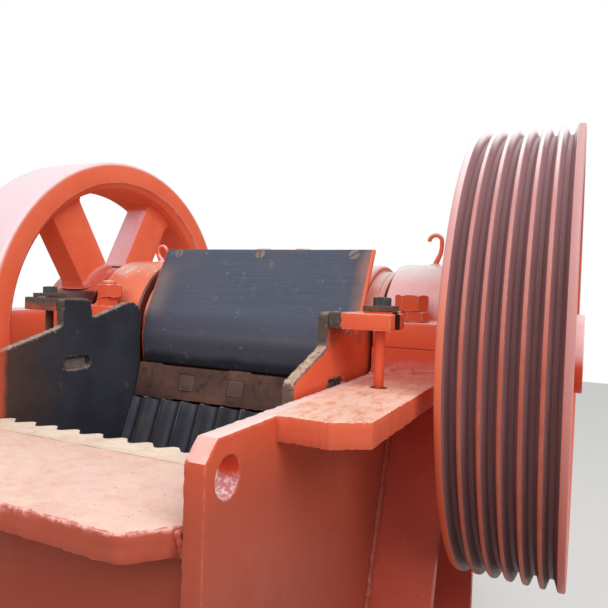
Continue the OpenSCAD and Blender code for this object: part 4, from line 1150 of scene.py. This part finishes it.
for s, word in SIDES:
    nose = -722 if s > 0 else -762
    slot_z = -68 if s > 0 else -78
    slot_loop = arc(-474, slot_z, 17, -90, 91, 15) + arc(-537, slot_z, 17, 90, 271, 15)
    arm_mat = arm_paint("arm_paint_" + word, s)
    reach = 542.0 if s > 0 else 526.0
    sh = Shape()
    plate(sh, [cheek_outline(nose), slot_loop], 378, 403, "x", s, edge=6.0 if s > 0 else 5.0, rough=2.2, step=5,
        seed=11.0 + s, mats=(0, 1, 2), crumble=1.1)
    slot_in = 489.0 if s > 0 else 471.0
    notch = arc(slot_in + 15, STUD_Y, 15, 270, 89, -20)
    arm = [(404, -562), (reach, -562), (reach, STUD_Y - 15)] + notch
    arm += [(reach, STUD_Y + 15), (reach, -457), (404, -457)]
    plate(sh, [arm], 67, 102, "z", s, edge=3.5, rough=1.2, step=5, seed=17.0 + s, mats=(2, 2, 2), crumble=0.9)
    plate(sh, [[(nose, -122), (-248, -122), (-248, -330), (JAW_FOOT[0] + 110, -1108), (nose, -1108)]], 403.2,
        413.6, "x", s, edge=1.5, rough=0.5, step=14, seed=2.0, mats=(0, 0, 0))
    # Packed dirt at the bottom of the slot.
    recess_dark = [[(s * (396 + 2.2 * wob(y / 7, z / 7, s)), y, z) for y in range(-552, -458, 4)]
        for z in range(slot_z - 17, slot_z + 18, 4)]
    flat = [p for row in recess_dark for p in row]
    w = len(recess_dark[0])
    sh.add(flat, [(r * w + c, r * w + c + 1, (r + 1) * w + c + 1, (r + 1) * w + c)
        for r in range(len(recess_dark) - 1) for c in range(w - 1)], 3)
    make("cheek_plate_cast_" + word, sh, [CHEEK[word], CHEEK_EDGE[word], arm_mat, SLOT_DIRT], "frame",
        ["cheek_plate_" + word])

    stud_x = 504.0 if s > 0 else 486.0
    sh = Shape()
    lathe(sh, [(-150, 10), (-148, 11), (120, 11)], (s * stud_x, STUD_Y, 0), "z", 28)
    nut(sh, (s * stud_x, STUD_Y, -131), "z", 45, 28, turn=0.3)
    stud_mat = (paint("stud_paint_" + word, grit=0.5, wear=0.5, dust_and_sheen=0.3, shift=130 + s, low_shade=0.0) if s > 0
        else RUST_DARK)
    make("clamp_stud_" + word, sh, [stud_mat], "frame", ["cheek_clamp_" + word])
    sh = Shape()
    lift = 4.5 if s > 0 else 0.0
    turn = (Matrix.Translation(Vector((s * stud_x, STUD_Y, 102 + lift))) @ Matrix.Rotation(radians(3.0 * s), 4,
        "Z") @ Matrix.Rotation(radians(-1.2), 4, "Y"))
    if lift:
        # Caked paint under the clamping plate.
        prism(sh, [(stud_x - 29, -539), (stud_x + 31, -536), (stud_x + 32, -478), (stud_x - 28, -481)], 101,
            102 + lift + 0.8, "z", 1.6, 2, mat=2)
    plate_pts = Shape()
    outline = [(-33, -33), (33, -33), (33, 33), (-33, 33)]
    plate(plate_pts, [outline], 0.9, 12, "z", 1, edge=2.6, rough=2.4, step=3, seed=23.0 + s, crumble=1.6)
    plate_pts.v = [tuple(turn @ Vector(p)) for p in plate_pts.v]
    before = list(sh.flat)
    sh.add(plate_pts.v, plate_pts.f, 0)
    sh.flat = before + plate_pts.flat
    off = 2.0 if s > 0 else 0.0
    nut(sh, (s * (stud_x + off), STUD_Y, 113.5 + lift), "z", 35, 18.5, turn=0.12, mat=1, wear=0.6, seed=s,
        skirt=False)
    thread(sh, (s * (stud_x + off), STUD_Y, 118 + lift), 12.4, 13.4, 3.0, 1.1, 28, mat=1)
    make("clamp_plate_" + word, sh, [RUST_DARK, NUT_STEEL, arm_mat], "frame", ())

# ---------------------------------------------------------------- swing jaw

sh = Shape()
half = [(0, 238), (344, 238), (349, 236.5), (352, 233), (352, 221.5), (354, 220), (381, 220), (382, 218.2),
    (383.5, 218.2), (384.5, 220), (396, 220), (398.8, 218.5), (400, 215), (400, 112)]
profile = [(-t, r) for t, r in reversed(half)] + half[1:]
lathe(sh, profile, (0, 0, -THROW), "x", 128, over=True)
LOW = -218.06 - 950 * sin(NIP), -229.15 - 950 * cos(NIP)
body = [(-212, -60), (-212, -214.3), (LOW[0], LOW[1]), (LOW[0] + 150 * cos(NIP), LOW[1] - 150 * sin(NIP)),
    (-400, -1020), (-400, -900), (-130, -420), (170, -150), (0, -60)]
prism(sh, body, -362, 362, "x", 6, 3)
for s in (-1, 1):
    lo, hi = sorted((s * 26, s * 50))
    prism(sh, [(-440, -1161), (-325, -1161), (-305, -1125), (-325, -1089), (-440, -1089)], lo, hi, "x", 2, 2)
lathe(sh, [(-50, 19), (-49, 20), (49, 20), (50, 19)], (0, -334.7, -1125), "x", 32)
prism(sh, [(-133, 240), (-174, 172), (-150, 140), (-40, 190), (-80, 240)], -312, 312, "x", 5, 2)
make("swing_jaw_cast", sh, [SEAL], "swing", ["swing_jaw"])

# Two lugs stand up behind the deflector plate.
sh = Shape()
for x in (-10, 125):
    lathe(sh, [(238, 27), (262, 27), (268, 24), (271.5, 17), (273, 8)], (x, -112, 0), "z", 32)
make("head_lugs", sh, [SEAL], "swing", ())

outer_face = curve2([(-142, 266), (-187, 180), (-228, 92), (-244, 58), (-255, 13), (-260, -21), (-253, -78),
    (-248, -97)], 6)


def offset2(path, d):
    out = []
    for i, p in enumerate(path):
        a, b = path[max(i - 1, 0)], path[min(i + 1, len(path) - 1)]
        t = (Vector(b) - Vector(a)).normalized()
        out.append((p[0] - t.y * d, p[1] + t.x * d))
    return out


sh = Shape()
inner_face = offset2(outer_face, 11.8)
rows = []
for x, inset in [(-362, 2), (-361.2, 0.6), (-360, 0)] + [(-360 + 720 * k / 40, 0)
        for k in range(1, 40)] + [(360, 0), (361.2, 0.6), (362, 2)]:
    row = []
    for path, sign in ((outer_face, 1), (list(reversed(inner_face)), -1)):
        n = len(path)
        for i, (y, z) in enumerate(path):
            other = (inner_face if sign > 0 else list(reversed(outer_face)))[i]
            away = Vector((other[0] - y, other[1] - z)).normalized()
            dent = 0.5 + 0.9 * wob(x / 170, z / 110, 2.0) + 0.35 * wob(x / 45, z / 60, 5.0)
            end = min(i, n - 1 - i)
            back = max(inset, 1.2 if end == 0 else 0)
            move = away * (back + (dent if sign > 0 else -dent))
            row.append((x, y + move.x, z + move.y))
    rows.append(row)
sh.rings(rows, 0)
make("deflector_skin", sh, [DEFLECTOR], "swing", ["deflector_plate"], sharp=50)

# Three slotted screws at the deflector's upper edge.
sh = Shape()
t, out = Vector((0, -45, -86)).normalized(), Vector((0, -86, 45)).normalized()
for x, angle in ((-309, 0.06), (-4, 0.2), (303, -0.95)):
    c = Vector((x, -142, 266)) + t * 17.5
    u = (Vector((1, 0, 0)) * sin(angle) + t * cos(angle)).normalized()
    w = out.cross(u)
    for sgn in (-1, 1):
        pts = []
        a0 = acos(2.0 / 16.5)
        for k in range(17):
            a = -a0 + 2 * a0 * k / 16
            pts.append((16.5 * cos(a), 16.5 * sin(a)))
        rows = []
        for depth, r in ((-5, 1.0), (0.2, 1.0), (0.9, 0.96)):
            rows.append([c + (w * sgn * (2.0 + (px - 2.0) * r) + u * py * r) + out * depth for px, py in pts])
        sh.rings(rows, 0)
    lathe(sh, [(-5, 15), (-1.8, 15.5), (-1.7, 14)], c, out, 32, mat=1)
make("deflector_screws", sh, [rust("screw_rust", base=(0.19, 0.155, 0.14), light=(0.32, 0.25, 0.21),
    dark=(0.09, 0.075, 0.072), rough=0.5, wear=0.95),
    rust("slot_rust", base=(0.018, 0.012, 0.012), light=(0.04, 0.022, 0.02), dark=(0.01, 0.008, 0.008))],
    "swing", ())

# ---------------------------------------------------------------- wedge bar

sh = Shape()
rows = []
n_cols = 150
for k in range(n_cols + 1):
    x = -370 + 740 * k / n_cols
    tab = 1.0 if -40 < x < 30 else 0.0
    left = 1.0 if x < -290 else 0.0
    top = -99 - 5.0 * (1 - max(tab, left)) + 0.8 * wob(x / 20, 1, 1)
    burr = 3.2 * wob(x / 26, 4, 2) + (3.5 if x < -225 else 0) + 1.5 * wob(x / 8, 7, 1)
    section = []
    front = 13
    for i in range(front + 1):
        f = i / front
        y, z = -254 - 25 * f, top + (-198 - top) * f
        if i == front:
            z -= burr
        bulge = 0.8 + 0.7 * wob(x / 60, z / 60, 3)
        for px in SQUARE_X:
            ring = max(abs(x - px) / SQUARE_W, abs(z - SQUARE_Z) / SQUARE_H)
            if ring < 1.12:
                bulge += 1.6 * max(0, 1 - abs(ring - 1.0) / 0.12) - (0.6 if ring < 0.9 else 0)
        if i in (0, front):
            bulge += 1.2
        section.append((x, y + bulge * 0.97, z - bulge * 0.24))
    section += [(x, -250, -204 - burr), (x, -224, -219), (x, -214, -221), (x, -213, -214), (x, -214, -200),
        (x, -222, -150), (x, -232, -104), (x, -240, top + 0.5)]
    rows.append(section)
sh.rings(rows, 0)
make("wedge_bar_cast", sh, [WEDGE], "swing", ["wedge_bar"], sharp=40)

# ---------------------------------------------------------------- spring

sh = Shape()
y0, y1 = 482.0, 662.0
turns, wire, r = 7, 8.5, 43.5
pts = []
steps = turns * 28
for i in range(steps + 1):
    f = i / steps
    w = 2 * pi * turns * f
    y = y0 + wire + (y1 - y0 - 2 * wire) * f
    pts.append((r * cos(w), y, -1113 + r * sin(w)))
tube(sh, pts, [wire] * len(pts), 12)
make("spring_coil", sh, [paint("spring_paint", base=(0.1, 0.1, 0.11), deep=(0.06, 0.06, 0.07),
    pale=(0.22, 0.2, 0.19), shift=150)], "frame", ["tension_spring"])

# ---------------------------------------------------------------- nodes carried over

# Each node's look and the width of its bevel in millimetres.
KEEP = {"front_wall": (SHADE, 3), "front_panel": (SHADE, 3), "rear_wall": (ORANGE, 3),
    "toggle_block": (TOGGLE, 4), "toggle_plate": (TOGGLE, 3), "tension_rod": (TOGGLE, 1.5),
    "eccentric_shaft": (STEEL, 1.5), "toggle_seat": (TOGGLE, 2)}
for s, word in SIDES:
    for name, mat in (("front_rib_", RIB), ("rear_rib_", RIB), ("base_flange_", ORANGE), ("bearing_pad_", PAD)):
        KEEP[name + word] = mat, 3
for name, (mat, width) in KEEP.items():
    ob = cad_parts[name]
    ob.data.materials.clear()
    ob.data.materials.append(mat)
    join = ob.modifiers.new("join", "WELD")
    join.merge_threshold = JOIN
    # One face for each flat side: the bevel folds thin triangles over beside a hole.
    flat = ob.modifiers.new("flat", "DECIMATE")
    flat.decimate_type = "DISSOLVE"
    flat.angle_limit = radians(0.5)
    round_off = ob.modifiers.new("round", "BEVEL")
    round_off.width = width / 1000
    round_off.segments = 2
    round_off.limit_method = "ANGLE"
    round_off.angle_limit = radians(50)
    round_off.harden_normals = False

# ---------------------------------------------------------------- floor, light, camera

floor = bpy.data.meshes.new("floor")
floor.from_pydata([(-9, -9, 0), (9, -9, 0), (9, 9, 0), (-9, 9, 0)], [], [(0, 1, 2, 3)])
ob = bpy.data.objects.new("floor", floor)
bpy.context.scene.collection.objects.link(ob)
m = Look("floor_pale")
pale = m.mix(m.noise(1.5, 3, 0.55), (0.8, 0.8, 0.79), (0.84, 0.84, 0.83))
m.colour = m.mix(m.seen(), (0.42, 0.41, 0.4), pale)
floor.materials.append(m.done(0.9, level=0.2))

world = bpy.data.worlds.new("studio")
bpy.context.scene.world = world
sky = Nodes(world)
rise = sky.parts(sky.value(sky.node("TexCoord"), "Generated"))[2]
light = sky.value(sky.node("MapRange", {0: rise, 1: -0.1, 2: 0.9, 3: 0.48, 4: 0.74}))
soft = sky.node("Background", {0: (1, 0.99, 0.985), 1: light})
white = sky.node("Background", {0: (1, 1, 1), 1: 1.0})
both = sky.node("MixShader", {0: sky.seen(), 1: sky.value(soft), 2: sky.value(white)})
sky.node("OutputWorld", {0: sky.value(both)})


def lamp(name, at, target, size, power):
    data = bpy.data.lights.new(name, "AREA")
    data.shape = "SQUARE"
    data.size = size
    data.energy = power
    ob = bpy.data.objects.new(name, data)
    ob.location = at
    ob.rotation_euler = (Vector(target) - Vector(at)).to_track_quat("-Z", "Y").to_euler()
    bpy.context.scene.collection.objects.link(ob)


lamp("key", (3.4, -2.4, 4.4), (0, -0.2, 1.1), 3.5, 150)
lamp("fill", (-1.2, -4.2, 3.4), (-0.2, 0, 1.2), 3.0, 40)

yaw, pitch, roll = 0.44199, -0.02738, 0.03192
fwd0, right0, up0 = Vector((-sin(yaw), cos(yaw), 0)), Vector((cos(yaw), sin(yaw), 0)), Vector((0, 0, 1))
fwd, up1 = fwd0 * cos(pitch) + up0 * sin(pitch), up0 * cos(pitch) - fwd0 * sin(pitch)
right, up = right0 * cos(roll) + up1 * sin(roll), up1 * cos(roll) - right0 * sin(roll)
cam = bpy.data.cameras.new("camera")
cam.sensor_width = 36.0
cam.lens = 34.885
cam.clip_start = 0.05
camera = bpy.data.objects.new("camera", cam)
camera.matrix_world = Matrix(((right.x, up.x, -fwd.x, 0.8953), (right.y, up.y, -fwd.y, -1.5295),
    (right.z, up.z, -fwd.z, 1.3717), (0, 0, 0, 1)))
bpy.context.scene.collection.objects.link(camera)
bpy.context.scene.camera = camera
bpy.context.scene.view_settings.view_transform = "Standard"
